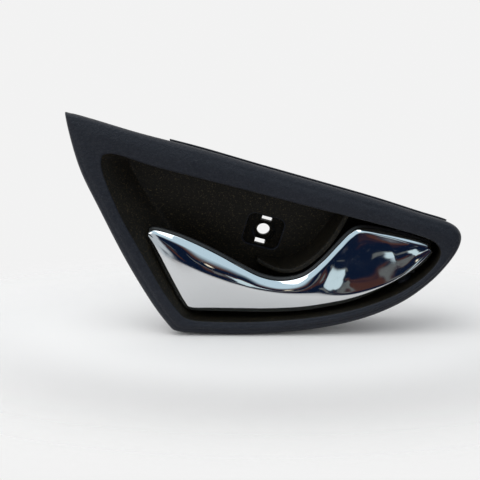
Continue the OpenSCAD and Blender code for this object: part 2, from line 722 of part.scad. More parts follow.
// Clip that closes the sheath's seat from behind
module cable_retainer() {
    half = bracket_half + loose;
    t = 1.2;
    grip = 8;
    color([0.85, 0.83, 0.75]) {
        box([bracket_x + 0.4, bracket_back + touch, bracket_z - half - t],
            [bracket_x + bracket_t - 0.4, bracket_back + touch + t, bracket_z + half + t]);
        for (s = [-1, 1])
            translate([0, 0, bracket_z + s*(half + t/2)])
                box([bracket_x + 0.4, bracket_back - grip, -t/2], [bracket_x + bracket_t - 0.4, bracket_back + t, t/2]);
    }
}

// Sheet-steel clip over a tower's end, with a barb on each side
module panel_clip(index) {
    half = tower_t/2 + loose;
    long = 10;
    w = tower_w - 1;
    barb = 1.6;
    color([0.62, 0.6, 0.52])
    at_clip(clip_places[index]) {
        box([-w/2, tower_back + touch, -half - clip_t], [w/2, tower_back + touch + clip_t, half + clip_t]);
        for (s = [0, 1]) mirror([0, 0, s])
            rotate([0, 90, 0]) translate([0, 0, -w/2]) linear_extrude(w)
                polygon([
                    [-half, tower_back + touch + clip_t/2], [-half, tower_back - long],
                    [-half - clip_t, tower_back - long], [-half - clip_t, tower_back - long*0.65],
                    [-half - clip_t - barb, tower_back - long*0.45], [-half - clip_t, tower_back],
                    [-half - clip_t, tower_back + touch + clip_t/2]
                ]);
    }
}

module felt_pad(place) {
    color([0.25, 0.25, 0.27])
    on_floor() translate([place[0], 0, place[1]])
        box([-place[2]/2, wall + touch, -place[3]/2], [place[2]/2, wall + touch + felt_t, place[3]/2]);
}

housing();
screw_seat();
lever_shell();
lever_carrier();
shell_screw(0);  // shell_screw_left
shell_screw(1);  // shell_screw_middle
shell_screw(2);  // shell_screw_right
pivot_pin();
pin_retaining_ring();
pivot_bush(1);  // pivot_bush_upper
pivot_bush(-1);  // pivot_bush_lower
return_spring();
rest_buffer();
open_buffer();
cable_end_bush();
cable_retainer();
panel_clip(0);  // panel_clip_tip
panel_clip(1);  // panel_clip_top
panel_clip(2);  // panel_clip_nose
panel_clip(3);  // panel_clip_side
felt_pad(felt_upper);  // felt_pad_upper
felt_pad(felt_lower);  // felt_pad_lower
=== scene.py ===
"""Looks of a car interior door handle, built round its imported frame.

The frame holds the solids. The trim housing, the plated lever and the return spring are shown
by finer meshes of the same form, and every other solid gets its own finish. Lengths are in
metres. +X runs to the rounded nose, +Z is up and the user is on the -Y side.
"""

import math

import bmesh
import bpy
import numpy as np
from mathutils import Matrix, Vector
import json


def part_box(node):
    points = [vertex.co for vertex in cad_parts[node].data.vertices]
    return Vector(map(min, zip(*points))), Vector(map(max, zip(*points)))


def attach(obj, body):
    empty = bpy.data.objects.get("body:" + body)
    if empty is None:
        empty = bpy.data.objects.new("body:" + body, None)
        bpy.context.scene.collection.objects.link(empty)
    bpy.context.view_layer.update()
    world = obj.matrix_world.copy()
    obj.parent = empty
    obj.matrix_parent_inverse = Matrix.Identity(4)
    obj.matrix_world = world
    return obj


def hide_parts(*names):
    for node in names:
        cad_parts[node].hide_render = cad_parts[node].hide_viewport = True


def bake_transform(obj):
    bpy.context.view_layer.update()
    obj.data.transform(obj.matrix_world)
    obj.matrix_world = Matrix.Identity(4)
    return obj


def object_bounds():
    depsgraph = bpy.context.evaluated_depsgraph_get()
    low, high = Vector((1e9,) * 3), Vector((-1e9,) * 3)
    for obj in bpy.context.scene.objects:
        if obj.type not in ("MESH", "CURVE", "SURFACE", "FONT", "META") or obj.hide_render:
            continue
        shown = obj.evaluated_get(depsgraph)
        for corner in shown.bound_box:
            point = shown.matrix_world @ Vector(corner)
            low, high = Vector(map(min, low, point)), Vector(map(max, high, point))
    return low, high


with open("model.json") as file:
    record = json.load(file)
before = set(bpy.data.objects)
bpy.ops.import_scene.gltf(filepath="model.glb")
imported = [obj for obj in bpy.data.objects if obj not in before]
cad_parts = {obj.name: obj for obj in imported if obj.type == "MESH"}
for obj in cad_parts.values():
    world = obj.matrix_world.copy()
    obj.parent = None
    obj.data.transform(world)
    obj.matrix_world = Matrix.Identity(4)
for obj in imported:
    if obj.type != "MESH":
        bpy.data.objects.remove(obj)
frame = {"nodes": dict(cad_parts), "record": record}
FRAME_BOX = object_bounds()

bl_info = {
    "name": "Interior Door Handle",
    "version": (1, 0, 0),
    "blender": (4, 5, 0),
    "location": "View3D > Sidebar > Handle",
    "description": "Builds a car interior door handle round its packed frame",
    "category": "Object",
}

MM = 0.001

# Outlines in hundredths of the bezel's length and height, seen from the user.
OUTER_POINTS = (
    (-49.5, 53.5), (-48.4, 55.2), (-43, 52.8), (-31.2, 46.6), (-16.3, 39.8), (-1.2, 32.1),
    (13.9, 24.6), (28, 17.5), (39.5, 11.1), (46.8, 7.1), (49.8, 3), (50.1, -2.5), (47.8, -10.3),
    (42.9, -20.3), (35.4, -30.2), (25.1, -37.9), (12.1, -42.8), (-3.6, -45), (-16.7, -44.6),
    (-22.7, -43.6), (-25.1, -40.3), (-29.6, -29), (-35.8, -9.6), (-41.8, 12.5), (-46.7, 32.1),
)
LIP_POINTS = (
    (-40.7, 35.1), (-39.6, 37.5), (-36.1, 37.1), (-28.2, 32.5), (-16.3, 27), (-2.5, 20.8),
    (11.4, 14.4), (24.6, 8.5), (35.1, 3.6), (41.8, -0.3), (44.1, -3.2), (44.8, -7.4), (43, -13.3),
    (38.7, -20.3), (32.4, -26.8), (23.5, -32.4), (11.9, -36.4), (-2.4, -38.3), (-15.3, -38.1),
    (-19.7, -36.9), (-21.8, -34.1), (-26.1, -23.5), (-31, -7.4), (-36.5, 11.2), (-40.2, 28.1),
)
FOOT_POINTS = (
    (-34.8, 33.6), (-34.3, 35.3), (-32.9, 35), (-26.7, 31.1), (-16, 25.5), (-2.5, 19.3),
    (11.1, 13), (24.3, 7.2), (34.8, 2.7), (41.4, -0.8), (44.9, -3.2), (45.9, -7.4), (43.7, -13.2),
    (38.3, -19.4), (31.7, -25.5), (23, -30.8), (11.7, -34.7), (-2.4, -36.5), (-11.4, -36.2),
    (-13.3, -35.3), (-14.3, -32.1), (-18.1, -17.1), (-22.9, -3.8), (-28.1, 10.4), (-33.1, 25.8),
)
RIDGE_TOP = (
    (21.2, 9.6), (18.4, 0.5), (15.6, -6), (12.5, -11.1),
    (9.1, -15.2), (5.6, -17), (2, -16.3), (-1.7, -14),
)
RIDGE_FOOT = (
    (19.8, 10.7), (17.2, 4.6), (14.3, -2.5), (11.2, -8.4),
    (7.7, -12.2), (4.7, -14), (1.5, -13.6), (-2.1, -11.9),
)
# Millimetres that the ridge's top sinks at each of its points.
RIDGE_SINK = (0, 0, 0, 0, 0.5, 3, 8, 15)

# Curves along the lever: hundredths of length and height, then millimetres below the rim.
LEVER_TOP = (
    (-29.8, 2.3, 7.5), (-28.1, 3.2, 6.4), (-25.3, 2.3, 5.4), (-21.2, 0, 4.8), (-16, -4.1, 4.4),
    (-10.9, -8.7, 4.2), (-5.7, -13.9, 4.4), (-0.5, -18.4, 5.2), (4.9, -20.1, 6), (10.4, -18, 6.8),
    (15, -11.6, 7.2), (19, -4, 7.4), (22.1, 1.6, 7.4), (25.1, 3.9, 7.4), (31, 2.5, 7.4),
    (37.5, -0.4, 7.4), (42.7, -3.2, 7.6),
)
LEVER_BEVEL = (
    (-29.9, 1.7, 7), (-27.9, 1.6, 5.2), (-24.9, 0, 4), (-21, -2.8, 3), (-16.5, -6.7, 2.6),
    (-11.6, -10.8, 2.6), (-6.2, -15.5, 3), (-0.8, -19.8, 3.8), (4.9, -21.7, 4.6),
    (10.6, -19.9, 5.2), (15.7, -13.2, 5.6), (19.9, -5.6, 5.8), (22.9, -0.2, 6), (25.4, 2, 6),
    (31.2, 0.1, 6), (37.4, -2.8, 6.2), (42.4, -5.1, 6.8),
)
LEVER_CREASE = (
    (-30, 1.3, 7), (-27.8, -1.6, 5), (-25.2, -5.9, 3.5), (-22.1, -9.7, 2), (-18.2, -13, 0.8),
    (-13.9, -16.6, 0.5), (-8.8, -20.4, 1), (-3.2, -23.6, 2), (4.1, -25.9, 3), (10.6, -26.3, 3.5),
    (16.5, -26.3, 3.8), (21.7, -25.9, 4), (26.4, -24.3, 4), (31.2, -21.3, 4), (35.8, -16.7, 4.5),
    (39.6, -11.5, 5.2), (43.1, -6, 6.6),
)
LEVER_BOTTOM = (
    (-30.1, 0.3, 7), (-29.1, -3.7, 6.5), (-26.6, -13.1, 6), (-23.9, -22.9, 6), (-21.5, -30.5, 6),
    (-19.3, -33.9, 6), (-14.1, -34.5, 6), (-6.2, -34.9, 6), (1.6, -35.1, 6), (9.4, -34.5, 6),
    (15.9, -32.8, 6), (21.9, -30.5, 6), (27.1, -27.2, 6), (32.2, -22.7, 6), (37, -17.8, 6.2),
    (41.3, -12.3, 6.6), (43.7, -7, 7),
)

# Clip towers and pegs: hundredths of length and height, then the turn of a tower in degrees.
CLIP_PLACES = ((-43.6, 43.4, 17), (5, 22.8, 17), (29.5, 11.4, 17), (-36.4, 0.5, 64))
PEG_PLACES = ((-41.8, 22.5), (48.0, 0.0))
# Ribs, as shares of the way round the bezel.
RIB_SHARES = (0.133, 0.267, 0.453, 0.613, 0.693, 0.907)
# Screw posts: station along the lever, and share of the way from its crease to its bevel.
POST_STATIONS = ((4, 0), (9, 0), (12, 0.5))
# Stations where the hollow of the lever's wide end begins and is full.
DISH_START, DISH_FULL = 9.5, 11.3

# Sizes behind the bezel. Towers and pegs end at depths on Y, EAR_GAP and ARM_LOW are heights from
# the hinge's middle, and the screw posts start and end at depths behind the shell's front.
RIB_WALL, RIB_INSET = 1.4 * MM, 2.5 * MM
TOWER_WIDTH, TOWER_WALL, TOWER_END = 7 * MM, 2 * MM, 3 * MM
PEG_FOOT_RADIUS, PEG_FOOT_END = 3.0 * MM, -6 * MM
PEG_RADIUS, PEG_START, PEG_END = 2.2 * MM, -7 * MM, 5 * MM
EAR_RADIUS, EAR_GAP = 4 * MM, 9.6 * MM
ARM_LOW, ARM_TURN, ARM_ROOM = 4.5 * MM, math.radians(22), 1 * MM
BUFFER_POST_RADIUS = 3.5 * MM
SHEATH_SEAT_RADIUS, SHEATH_MOUTH, BRACKET_HALF = 3 * MM, 4.8 * MM, 6 * MM
HUB_RADIUS = 8.4 * MM
POST_RADIUS, POST_START, POST_END = 2.4 * MM, 1.0 * MM, 7.0 * MM

BEZEL_STEPS, LEVER_STEPS = (4, 12), (4, 14)
ROUND_SIDES, SEAT_SIDES = 48, 64

STEEL_NODES = ("shell_screw_left", "shell_screw_middle", "shell_screw_right", "pivot_pin")
CLIP_NODES = (
    "pin_retaining_ring", "panel_clip_tip", "panel_clip_top", "panel_clip_nose", "panel_clip_side",
)
NYLON_NODES = ("pivot_bush_upper", "pivot_bush_lower", "cable_end_bush", "cable_retainer")
RUBBER_NODES = ("rest_buffer", "open_buffer")
FELT_NODES = ("felt_pad_upper", "felt_pad_lower")

# Stage in metres; the floor's fade is in millimetres from the middle, and the lens in millimetres.
FLOOR_WIDTH, FLOOR_DEPTH, FADE_START, FADE_END = 1.6, 1.2, 75.0, 190.0
SCREEN_RADIUS = 1.8
CAMERA_LENS = 63.49
CAMERA_PLACE, CAMERA_TARGET = (-0.013114, -0.468245, 0.093059), (-0.013114, -0.028079, -0.000301)


def length(name, default, description):
    return bpy.props.FloatProperty(
        name=name, default=default, description=description, unit="LENGTH", precision=5
    )


def angle(name, degrees, description):
    return bpy.props.FloatProperty(
        name=name, default=math.radians(degrees), description=description, unit="ROTATION", subtype="ANGLE"
    )


def colour(name, rgb, description):
    return bpy.props.FloatVectorProperty(
        name=name, default=rgb, description=description, size=3, min=0, max=1, subtype="COLOR"
    )


def steps_of(choice):
    return choice[1]


class HandleSettings(bpy.types.PropertyGroup):
    """Sizes and colours of the door handle."""

    bezel_length: length("Bezel Length", 0.210, "From the pointed end to the nose")
    bezel_height: length("Bezel Height", 0.120, "Height that the outlines are drawn on")
    cup_depth: length("Cup Depth", 0.025, "From the rim to the cup floor at the screw")
    floor_tilt: angle("Floor Tilt", 13, "Lean of the cup floor")
    edge_radius: length("Edge Radius", 0.0035, "Outer edge of the bezel")
    edge_drop: length("Edge Drop", 0.005, "Fall of the outer edge behind the crown")
    lip_radius: length("Lip Radius", 0.0016, "Lip that rolls into the cup")
    skirt_height: length("Skirt Height", 0.012, "Depth of the skirt behind the crown")
    skirt_wall: length("Skirt Wall", 0.002, "Thickness of the skirt")
    wall: length("Wall", 0.0025, "Thickness of the moulding")
    floor_fillet: length("Floor Fillet", 0.0022, "Fillet between the cup's wall and floor")
    ridge_width: length("Ridge Width", 0.0026, "Ridge between the cup and the lever's bay")
    ridge_drop: length("Ridge Drop", 0.0085, "Depth of the ridge's top below the rim")
    pocket_width: length("Pocket Width", 0.021, "Pocket round the screw hole")
    pocket_height: length("Pocket Height", 0.019, "Pocket round the screw hole")
    pocket_radius: length("Pocket Radius", 0.004, "Corners of the pocket")
    pocket_depth: length("Pocket Depth", 0.0016, "Depth of the pocket")
    pocket_turn: angle("Pocket Turn", 16, "Turn of the pocket in the floor's plane")
    seat_step: length("Seat Step", 0.0007, "Depth of each step round the hole")
    seat_outer: length("Outer Step Radius", 0.0068, "Outer step round the hole")
    seat_inner: length("Inner Step Radius", 0.005, "Inner step round the hole")
    hole_radius: length("Hole Radius", 0.0036, "Hole for the fixing screw")
    seat_wall: length("Seat Wall", 0.0018, "Wall under the screw's head")
    slot_width: length("Slot Width", 0.006, "Length of a hook slot")
    slot_height: length("Slot Height", 0.003, "Height of a hook slot")
    shell_wall: length("Shell Wall", 0.0015, "Thickness of the plated shell")
    dish_depth: length("Dish Depth", 0.0010, "Depth of the dish in the lever's wide end")
    shell_edge: length("Shell Edge", 0.0006, "Rounding of the shell's border")
    spring_wire: length("Spring Wire", 0.00055, "Radius of the spring's wire")
    spring_radius: length("Spring Radius", 0.0043, "Mean radius of the coil")
    rim_colour: colour("Rim", (0.0066, 0.0082, 0.0138), "Grained bezel")
    cup_colour: colour("Cup", (0.0058, 0.0050, 0.0034), "Finely eroded cup")
    plating_colour: colour("Plating", (0.63, 0.64, 0.65), "Bright plating")
    carrier_colour: colour("Carrier", (0.010, 0.010, 0.011), "Carrier behind the shell")
    steel_colour: colour("Steel", (0.52, 0.53, 0.55), "Zinc-plated steel")
    clip_colour: colour("Clip Steel", (0.42, 0.37, 0.25), "Passivated spring steel")
    nylon_colour: colour("Nylon", (0.74, 0.70, 0.58), "Natural bush plastic")
    rubber_colour: colour("Rubber", (0.018, 0.018, 0.019), "Buffers")
    felt_colour: colour("Felt", (0.055, 0.055, 0.062), "Pads behind the cup")
    stage_colour: colour("Stage", (0.93, 0.93, 0.93), "Floor under the handle")


# Shader helpers.


class Value:
    """A shader socket that takes part in Python sums."""

    def __init__(self, graph, socket):
        self.graph, self.socket = graph, socket

    def math(self, operation, first, second):
        return self.graph.node("Math", {"operation": operation}, {0: first, 1: second})

    def __add__(self, other):
        return self.math("ADD", self, other)

    def __radd__(self, other):
        return self.math("ADD", other, self)

    def __sub__(self, other):
        return self.math("SUBTRACT", self, other)

    def __rsub__(self, other):
        return self.math("SUBTRACT", other, self)

    def __mul__(self, other):
        return self.math("MULTIPLY", self, other)

    def __rmul__(self, other):
        return self.math("MULTIPLY", other, self)

    def __pow__(self, other):
        return self.math("POWER", self, other)

    def step(self, low, high):
        """0 up to low, 1 from high, and smooth between."""
        inputs = {"Value": self, "From Min": low, "From Max": high}
        return self.graph.node("MapRange", {"interpolation_type": "SMOOTHSTEP"}, inputs)


class Graph:
    """The node tree of one finish or of the world."""

    def __init__(self, tree):
        self.tree = tree
        tree.nodes.clear()

    def node(self, kind, settings=None, inputs=None, output=0):
        """Adds a node of a kind, with its settings and inputs, and returns one output."""
        made = self.tree.nodes.new("ShaderNode" + kind)
        for name, value in (settings or {}).items():
            setattr(made, name, value)
        for key, value in (inputs or {}).items():
            if isinstance(value, Value):
                self.tree.links.new(value.socket, made.inputs[key])
            else:
                made.inputs[key].default_value = value
        return Value(self, made.outputs[output]) if made.outputs else made

    def mix(self, share, first, second):
        """The first colour at share 0, and the second one at share 1."""
        return self.node("Mix", {"data_type": "RGBA"}, {0: share, 6: solid(first), 7: solid(second)}, 2)

    def noise(self, point, scale, detail=2.0, rough=0.5, distortion=0.0):
        inputs = {"Vector": point, "Scale": scale, "Detail": detail, "Roughness": rough}
        return self.node("TexNoise", None, {**inputs, "Distortion": distortion})

    def cells(self, point, scale, feature="SMOOTH_F1"):
        inputs = {"Vector": point, "Scale": scale}
        if feature == "SMOOTH_F1":
            inputs["Smoothness"] = 0.4
        return self.node("TexVoronoi", {"feature": feature}, inputs)

    def millimetres(self):
        """Object coordinates in millimetres."""
        place = self.node("TexCoord", output=3)
        return self.node("VectorMath", {"operation": "SCALE"}, {0: place, "Scale": 1 / MM})

    def parts(self, point):
        axes = self.node("SeparateXYZ", None, {0: point})
        names = axes.socket.node.outputs
        return [Value(self, names[i]) for i in range(3)]

    def stretched(self, point, scale):
        return self.node("VectorMath", {"operation": "MULTIPLY"}, {0: point, 1: scale})

    def bump(self, height, distance):
        """Normal of a surface whose relief is height times distance, which is in millimetres."""
        return self.node("Bump", None, {"Height": height, "Distance": distance * MM, "Strength": 1.0})

    def surface(self, **inputs):
        """The one surface shader, fed by its inputs' names with spaces as underscores."""
        named = {name.replace("_", " "): solid(value) for name, value in inputs.items()}
        shader = self.node("BsdfPrincipled", None, named)
        self.node("OutputMaterial", None, {"Surface": shader})


def solid(value):
    """A colour of three numbers with its alpha; any other value as it is."""
    if isinstance(value, (Value, int, float)):
        return value
    return (*value[:3], 1.0)


def finish(name):
    """An empty material and its node graph."""
    made = bpy.data.materials.new(name)
    made.use_nodes = True
    return made, Graph(made.node_tree)


def scaled(colour_setting, factor):
    return [factor * c for c in colour_setting]


# Finishes.


def rim_finish(settings):
    """Leather-grained plastic with a faint haze of dust."""
    made, graph = finish("rim_plastic")
    point = graph.millimetres()
    drift = graph.noise(point, 0.9, 2)
    pebble = graph.cells(point, 0.72)
    crease = graph.cells(point, 0.72, "DISTANCE_TO_EDGE")
    pores = graph.noise(point, 5.5, 3, 0.65)
    relief = 0.55 * pebble + 0.35 * crease.step(0.0, 0.20) + 0.22 * pores
    patch = graph.noise(point, 0.035, 4, 0.6)
    haze = (patch * 0.8 + drift * 0.2).step(0.42, 0.66)
    speck = graph.noise(point, 2.6, 1).step(0.70, 0.78)
    flecks = graph.noise(point, 0.95, 3, 0.7).step(0.46, 0.66)
    grain = graph.mix(pores * 0.55, settings.rim_colour, scaled(settings.rim_colour, 1.7))
    dusted = graph.mix(haze * 0.08 + speck * 0.14 + flecks * 0.20, grain, (0.039, 0.042, 0.054))
    graph.surface(
        Base_Color=dusted,
        Roughness=0.37 + 0.10 * pores + 0.08 * haze,
        Normal=graph.bump(relief, 0.42),
        Specular_IOR_Level=0.24,
    )
    return made


def cup_finish(settings):
    """Finely eroded plastic, with painted glints: scattered specks of brighter warm base colour, which are
    also smoother.
    """
    made, graph = finish("cup_plastic")
    point = graph.millimetres()
    sand = graph.noise(point, 1.7, 4, 0.8)
    points = graph.cells(point, 1.6, "F1")
    relief = 0.8 * sand + 0.35 * points
    # Mask of the specks that get the painted glint in their colour and a lower roughness.
    smooth_and_painted_glint = graph.noise(point, 1.25, 2, 0.75).step(0.57, 0.66)
    stain = graph.noise(point, 0.05, 3, 0.6).step(0.40, 0.65)
    base = graph.mix(stain * 0.5, settings.cup_colour, scaled(settings.cup_colour, 1.6))
    graph.surface(
        # Painted glint: the base colour turns warm and pale at the specks.
        Base_Color=graph.mix(smooth_and_painted_glint * 0.6, base, (0.075, 0.058, 0.030)),
        Roughness=0.46 - 0.16 * smooth_and_painted_glint + 0.06 * stain,
        Normal=graph.bump(relief, 0.28),
        Specular_IOR_Level=0.17,
    )
    return made


def plating_finish(settings):
    """Bright plating with a very slight swell and a few wipe marks."""
    made, graph = finish("bright_plating")
    point = graph.millimetres()
    swell = graph.noise(point, 0.055, 2, 0.4)
    wipe = graph.noise(graph.stretched(point, (0.05, 1.0, 1.6)), 1.1, 3, 0.6)
    smear = graph.noise(point, 0.09, 4, 0.6).step(0.50, 0.72)
    pits = graph.noise(point, 1.9, 1).step(0.735, 0.77)
    tone = graph.mix(smear * 0.10, settings.plating_colour, (0.58, 0.58, 0.59))
    graph.surface(
        Base_Color=graph.mix(pits * 0.5, tone, (0.40, 0.38, 0.36)),
        Metallic=1.0,
        Roughness=0.035 + 0.045 * smear + 0.02 * wipe + 0.2 * pits,
        Normal=graph.bump(swell * 0.9 + wipe * 0.004, 0.10),
    )
    return made


def carrier_finish(settings):
    """Satin black plastic with flow lines from the mould."""
    made, graph = finish("carrier_plastic")
    point = graph.millimetres()
    flow = graph.noise(graph.stretched(point, (0.12, 1.0, 1.0)), 0.8, 3, 0.6, 0.4)
    matt = graph.noise(point, 3.4, 3, 0.7)
    tone = graph.mix(flow * 0.5, settings.carrier_colour, scaled(settings.carrier_colour, 2.0))
    graph.surface(
        Base_Color=tone,
        Roughness=0.36 + 0.16 * matt + 0.08 * flow,
        Normal=graph.bump(matt, 0.03),
        Specular_IOR_Level=0.40,
    )
    return made


def steel_finish(name, rgb, tint):
    """Plated steel, turned or rolled, with a spotty passive film."""
    made, graph = finish(name)
    point = graph.millimetres()
    lines = graph.noise(graph.stretched(point, (0.4, 0.4, 9.0)), 2.0, 2, 0.6)
    film = graph.noise(point, 0.45, 4, 0.65).step(0.38, 0.68)
    spots = graph.cells(point, 1.3, "F1").step(0.10, 0.32)
    worn = graph.mix(film * 0.55, rgb, tint)
    graph.surface(
        Base_Color=graph.mix((1.0 - spots) * 0.35, worn, scaled(rgb, 0.6)),
        Metallic=1.0,
        Roughness=0.26 + 0.14 * film + 0.10 * lines,
        Normal=graph.bump(lines, 0.02),
    )
    return made


def nylon_finish(settings):
    """Unpigmented bush plastic with cloudy mould skin."""
    made, graph = finish("natural_nylon")
    point = graph.millimetres()
    cloud = graph.noise(point, 0.35, 4, 0.55)
    skin = graph.noise(point, 4.0, 2, 0.6)
    shade = scaled(settings.nylon_colour, 0.82)
    tone = graph.mix(cloud.step(0.3, 0.7) * 0.6, settings.nylon_colour, shade)
    graph.surface(
        Base_Color=tone,
        Roughness=0.40 + 0.14 * skin,
        Normal=graph.bump(skin + cloud, 0.03),
        Subsurface_Weight=0.15,
        Subsurface_Scale=0.6 * MM,
    )
    return made


def rubber_finish(settings):
    """Matt rubber with bloom."""
    made, graph = finish("buffer_rubber")
    point = graph.millimetres()
    bloom = graph.noise(point, 0.6, 4, 0.6).step(0.45, 0.75)
    fine = graph.noise(point, 6.0, 3, 0.7)
    graph.surface(
        Base_Color=graph.mix(bloom * 0.35, settings.rubber_colour, (0.07, 0.07, 0.07)),
        Roughness=0.72 + 0.14 * fine,
        Normal=graph.bump(fine, 0.05),
        Specular_IOR_Level=0.3,
    )
    return made


def felt_finish(settings):
    """Matted fibres."""
    made, graph = finish("pad_felt")
    point = graph.millimetres()
    warp = graph.noise(graph.stretched(point, (5.0, 1.0, 0.7)), 1.4, 4, 0.7, 1.2)
    weft = graph.noise(graph.stretched(point, (0.7, 1.0, 5.0)), 1.4, 4, 0.7, 1.2)
    fibres = (warp + weft) * 0.5
    deep, pale = scaled(settings.felt_colour, 0.6), scaled(settings.felt_colour, 1.9)
    graph.surface(
        Base_Color=graph.mix(fibres.step(0.35, 0.7), deep, pale),
        Roughness=0.86 + 0.1 * fibres,
        Normal=graph.bump(fibres, 0.5),
        Sheen_Weight=0.4,
        Sheen_Roughness=0.5,
    )
    return made


# Curves and meshes.


def curve(points, steps, closed=False):
    """A smooth curve through points, with steps places for each of them."""
    p = np.asarray(points, float)
    if p.ndim == 1:
        p = p[:, None]
    count = len(p)
    index = np.arange(count if closed else count - 1)

    def near(shift):
        k = index + shift
        return p[k % count if closed else np.clip(k, 0, count - 1)][:, None]

    a, b, c, d = near(-1), near(0), near(1), near(2)
    t = (np.arange(steps) / steps)[:, None]
    places = (2 * b + (c - a) * t + (2 * a - 5 * b + 4 * c - d) * t**2 + (3 * b - a - 3 * c + d) * t**3) / 2
    places = places.reshape(-1, p.shape[1])
    return places if closed else np.vstack([places, p[-1]])


def unit(vectors):
    return vectors / np.linalg.norm(vectors, axis=-1, keepdims=True)


def bend(first, corner, last, share):
    """A place on the rounding from first to last that leaves out the corner."""
    return (1 - share) ** 2 * first + 2 * share * (1 - share) * corner + share**2 * last


class Form:
    """Vertices and faces gathered for one mesh; a tag is a face's material."""

    def __init__(self):
        self.vertices, self.faces, self.tags = [], [], []

    def add(self, vertices, faces, tag=0):
        start = len(self.vertices)
        self.vertices += [tuple(v) for v in vertices]
        self.faces += [tuple(start + i for i in f) for f in faces]
        self.tags += [tag] * len(faces) if isinstance(tag, int) else list(tag)

    def skin(self, rings, tags=None):
        """Joins rings of equal length and closes both ends; a tag for each band, or for all of them."""
        count, last = len(rings[0]), len(rings) - 1
        faces, marks = [], []
        for k in range(last):
            for i in range(count):
                j = (i + 1) % count
                faces.append((k * count + i, (k + 1) * count + i, (k + 1) * count + j, k * count + j))
                marks.append(tags[k] if tags else 0)
        faces += [tuple(range(count)), tuple(last * count + i for i in reversed(range(count)))]
        marks += [tags[0], tags[-1]] if tags else [0, 0]
        self.add(np.vstack(rings), faces, marks)

    def prism(self, outline, y0, y1, place=None, tag=0):
        """An outline in X and Z, drawn from depth y0 to y1."""
        rings = [np.array([(x, y, z) for x, z in outline]) for y in (y0, y1)]
        if place is not None:
            rings = [np.array([place @ Vector(v) for v in ring]) for ring in rings]
        self.skin(rings, [tag])

    def box(self, low, high, place=None, tag=0):
        (x0, y0, z0), (x1, y1, z1) = low, high
        self.prism(((x0, z0), (x1, z0), (x1, z1), (x0, z1)), y0, y1, place, tag)

    def disc(self, x, z, radius, y0, y1, place=None, tag=0, sides=ROUND_SIDES):
        turn = [2 * math.pi * i / sides for i in range(sides)]
        self.prism([(x + radius * math.cos(a), z + radius * math.sin(a)) for a in turn], y0, y1, place, tag)

    def bar(self, x, y, radius, z0, z1, tag=0):
        """A round bar along Z."""
        turn = np.arange(ROUND_SIDES) * 2 * math.pi / ROUND_SIDES
        around = np.column_stack([x + radius * np.cos(turn), y + radius * np.sin(turn)])
        self.skin([np.column_stack([around, np.full(ROUND_SIDES, z)]) for z in (z0, z1)], [tag])

    def object(self, name, *materials):
        mesh = bpy.data.meshes.new(name)
        mesh.from_pydata(self.vertices, [], self.faces)
        for m in materials:
            mesh.materials.append(m)
        if materials:
            mesh.polygons.foreach_set("material_index", self.tags)
        made = bpy.data.objects.new(name, mesh)
        bpy.context.scene.collection.objects.link(made)
        outward(made)
        return made


def outward(obj):
    """Turns every face of a mesh outward."""
    work = bmesh.new()
    work.from_mesh(obj.data)
    bmesh.ops.recalc_face_normals(work, faces=work.faces)
    work.to_mesh(obj.data)
    work.free()


def baked(obj):
    """Applies an object's modifiers."""
    state = bpy.context.evaluated_depsgraph_get()
    mesh = bpy.data.meshes.new_from_object(obj.evaluated_get(state), depsgraph=state)
    obj.modifiers.clear()
    obj.data = mesh
    return obj


def carve(obj, tool):
    """Cuts a tool out of an object and removes the tool."""
    cut = obj.modifiers.new("cut", "BOOLEAN")
    cut.operation, cut.solver, cut.object = "DIFFERENCE", "EXACT", tool
    baked(obj)
    bpy.data.objects.remove(tool)
    return obj


def chamfered(obj, width):
    """Breaks every edge that is sharper than 40 degrees."""
    edge = obj.modifiers.new("edge", "BEVEL")
    edge.width, edge.segments = width, 2
    edge.limit_method, edge.angle_limit = "ANGLE", math.radians(40)
    return baked(obj)


def joined(name, *objects):
    """One object out of several, in the first one's place."""
    with bpy.context.temp_override(
        active_object=objects[0], selected_editable_objects=list(objects), selected_objects=list(objects)
    ):
        bpy.ops.object.join()
    objects[0].name = objects[0].data.name = name
    return objects[0]


def smooth(obj, degrees):
    """Smooth faces with sharp edges above an angle, normals led by the large faces."""
    mesh = obj.data
    mesh.polygons.foreach_set("use_smooth", [True] * len(mesh.polygons))
    mesh.set_sharp_from_angle(angle=math.radians(degrees))
    led = obj.modifiers.new("led", "WEIGHTED_NORMAL")
    led.keep_sharp, led.weight = True, 50
    return baked(obj)


# The housing.


class Bezel:
    """Outlines of the bezel and places on its surface."""

    def __init__(self, settings, steps):
        self.settings = s = settings
        self.scale = np.array([s.bezel_length, s.bezel_height]) / 100
        self.outer, self.lip, self.foot = (
            curve(p, steps, True) * self.scale for p in (OUTER_POINTS, LIP_POINTS, FOOT_POINTS)
        )
        self.inward = unit(self.lip - self.outer)
        self.seat_depth = s.pocket_depth + 2 * s.seat_step
        self.rim = -self.seat_depth / math.cos(s.floor_tilt) - s.cup_depth
        self.on_floor = Matrix.Rotation(s.floor_tilt, 4, "X") @ Matrix.Translation((0, -self.seat_depth, 0))

    def floor(self, z):
        return -z * math.tan(self.settings.floor_tilt) - self.seat_depth / math.cos(self.settings.floor_tilt)

    def place(self, p, y):
        return np.column_stack([p[:, 0], np.broadcast_to(y, len(p)), p[:, 1]])

    def from_edge(self, inset, y):
        return self.place(self.outer + self.inward * inset, y)

    def from_lip(self, outset, y):
        return self.place(self.lip - self.inward * outset, y)

    def down_wall(self, share, outset, back=0.0):
        p = self.lip + (self.foot - self.lip) * share - self.inward * outset
        top = self.rim + self.settings.lip_radius
        return self.place(p, top + (self.floor(p[:, 1]) - top) * share + back)

    def at(self, x, z):
        return x * self.settings.bezel_length / 100, z * self.settings.bezel_height / 100

    def pocket_outline(self, grow):
        """Outline of the screw seat's pocket, grown all round."""
        s = self.settings
        width, height = s.pocket_width + 2 * grow, s.pocket_height + 2 * grow
        return rounded(width, height, s.pocket_radius + grow, s.pocket_turn)


RIM, CUP = 0, 1


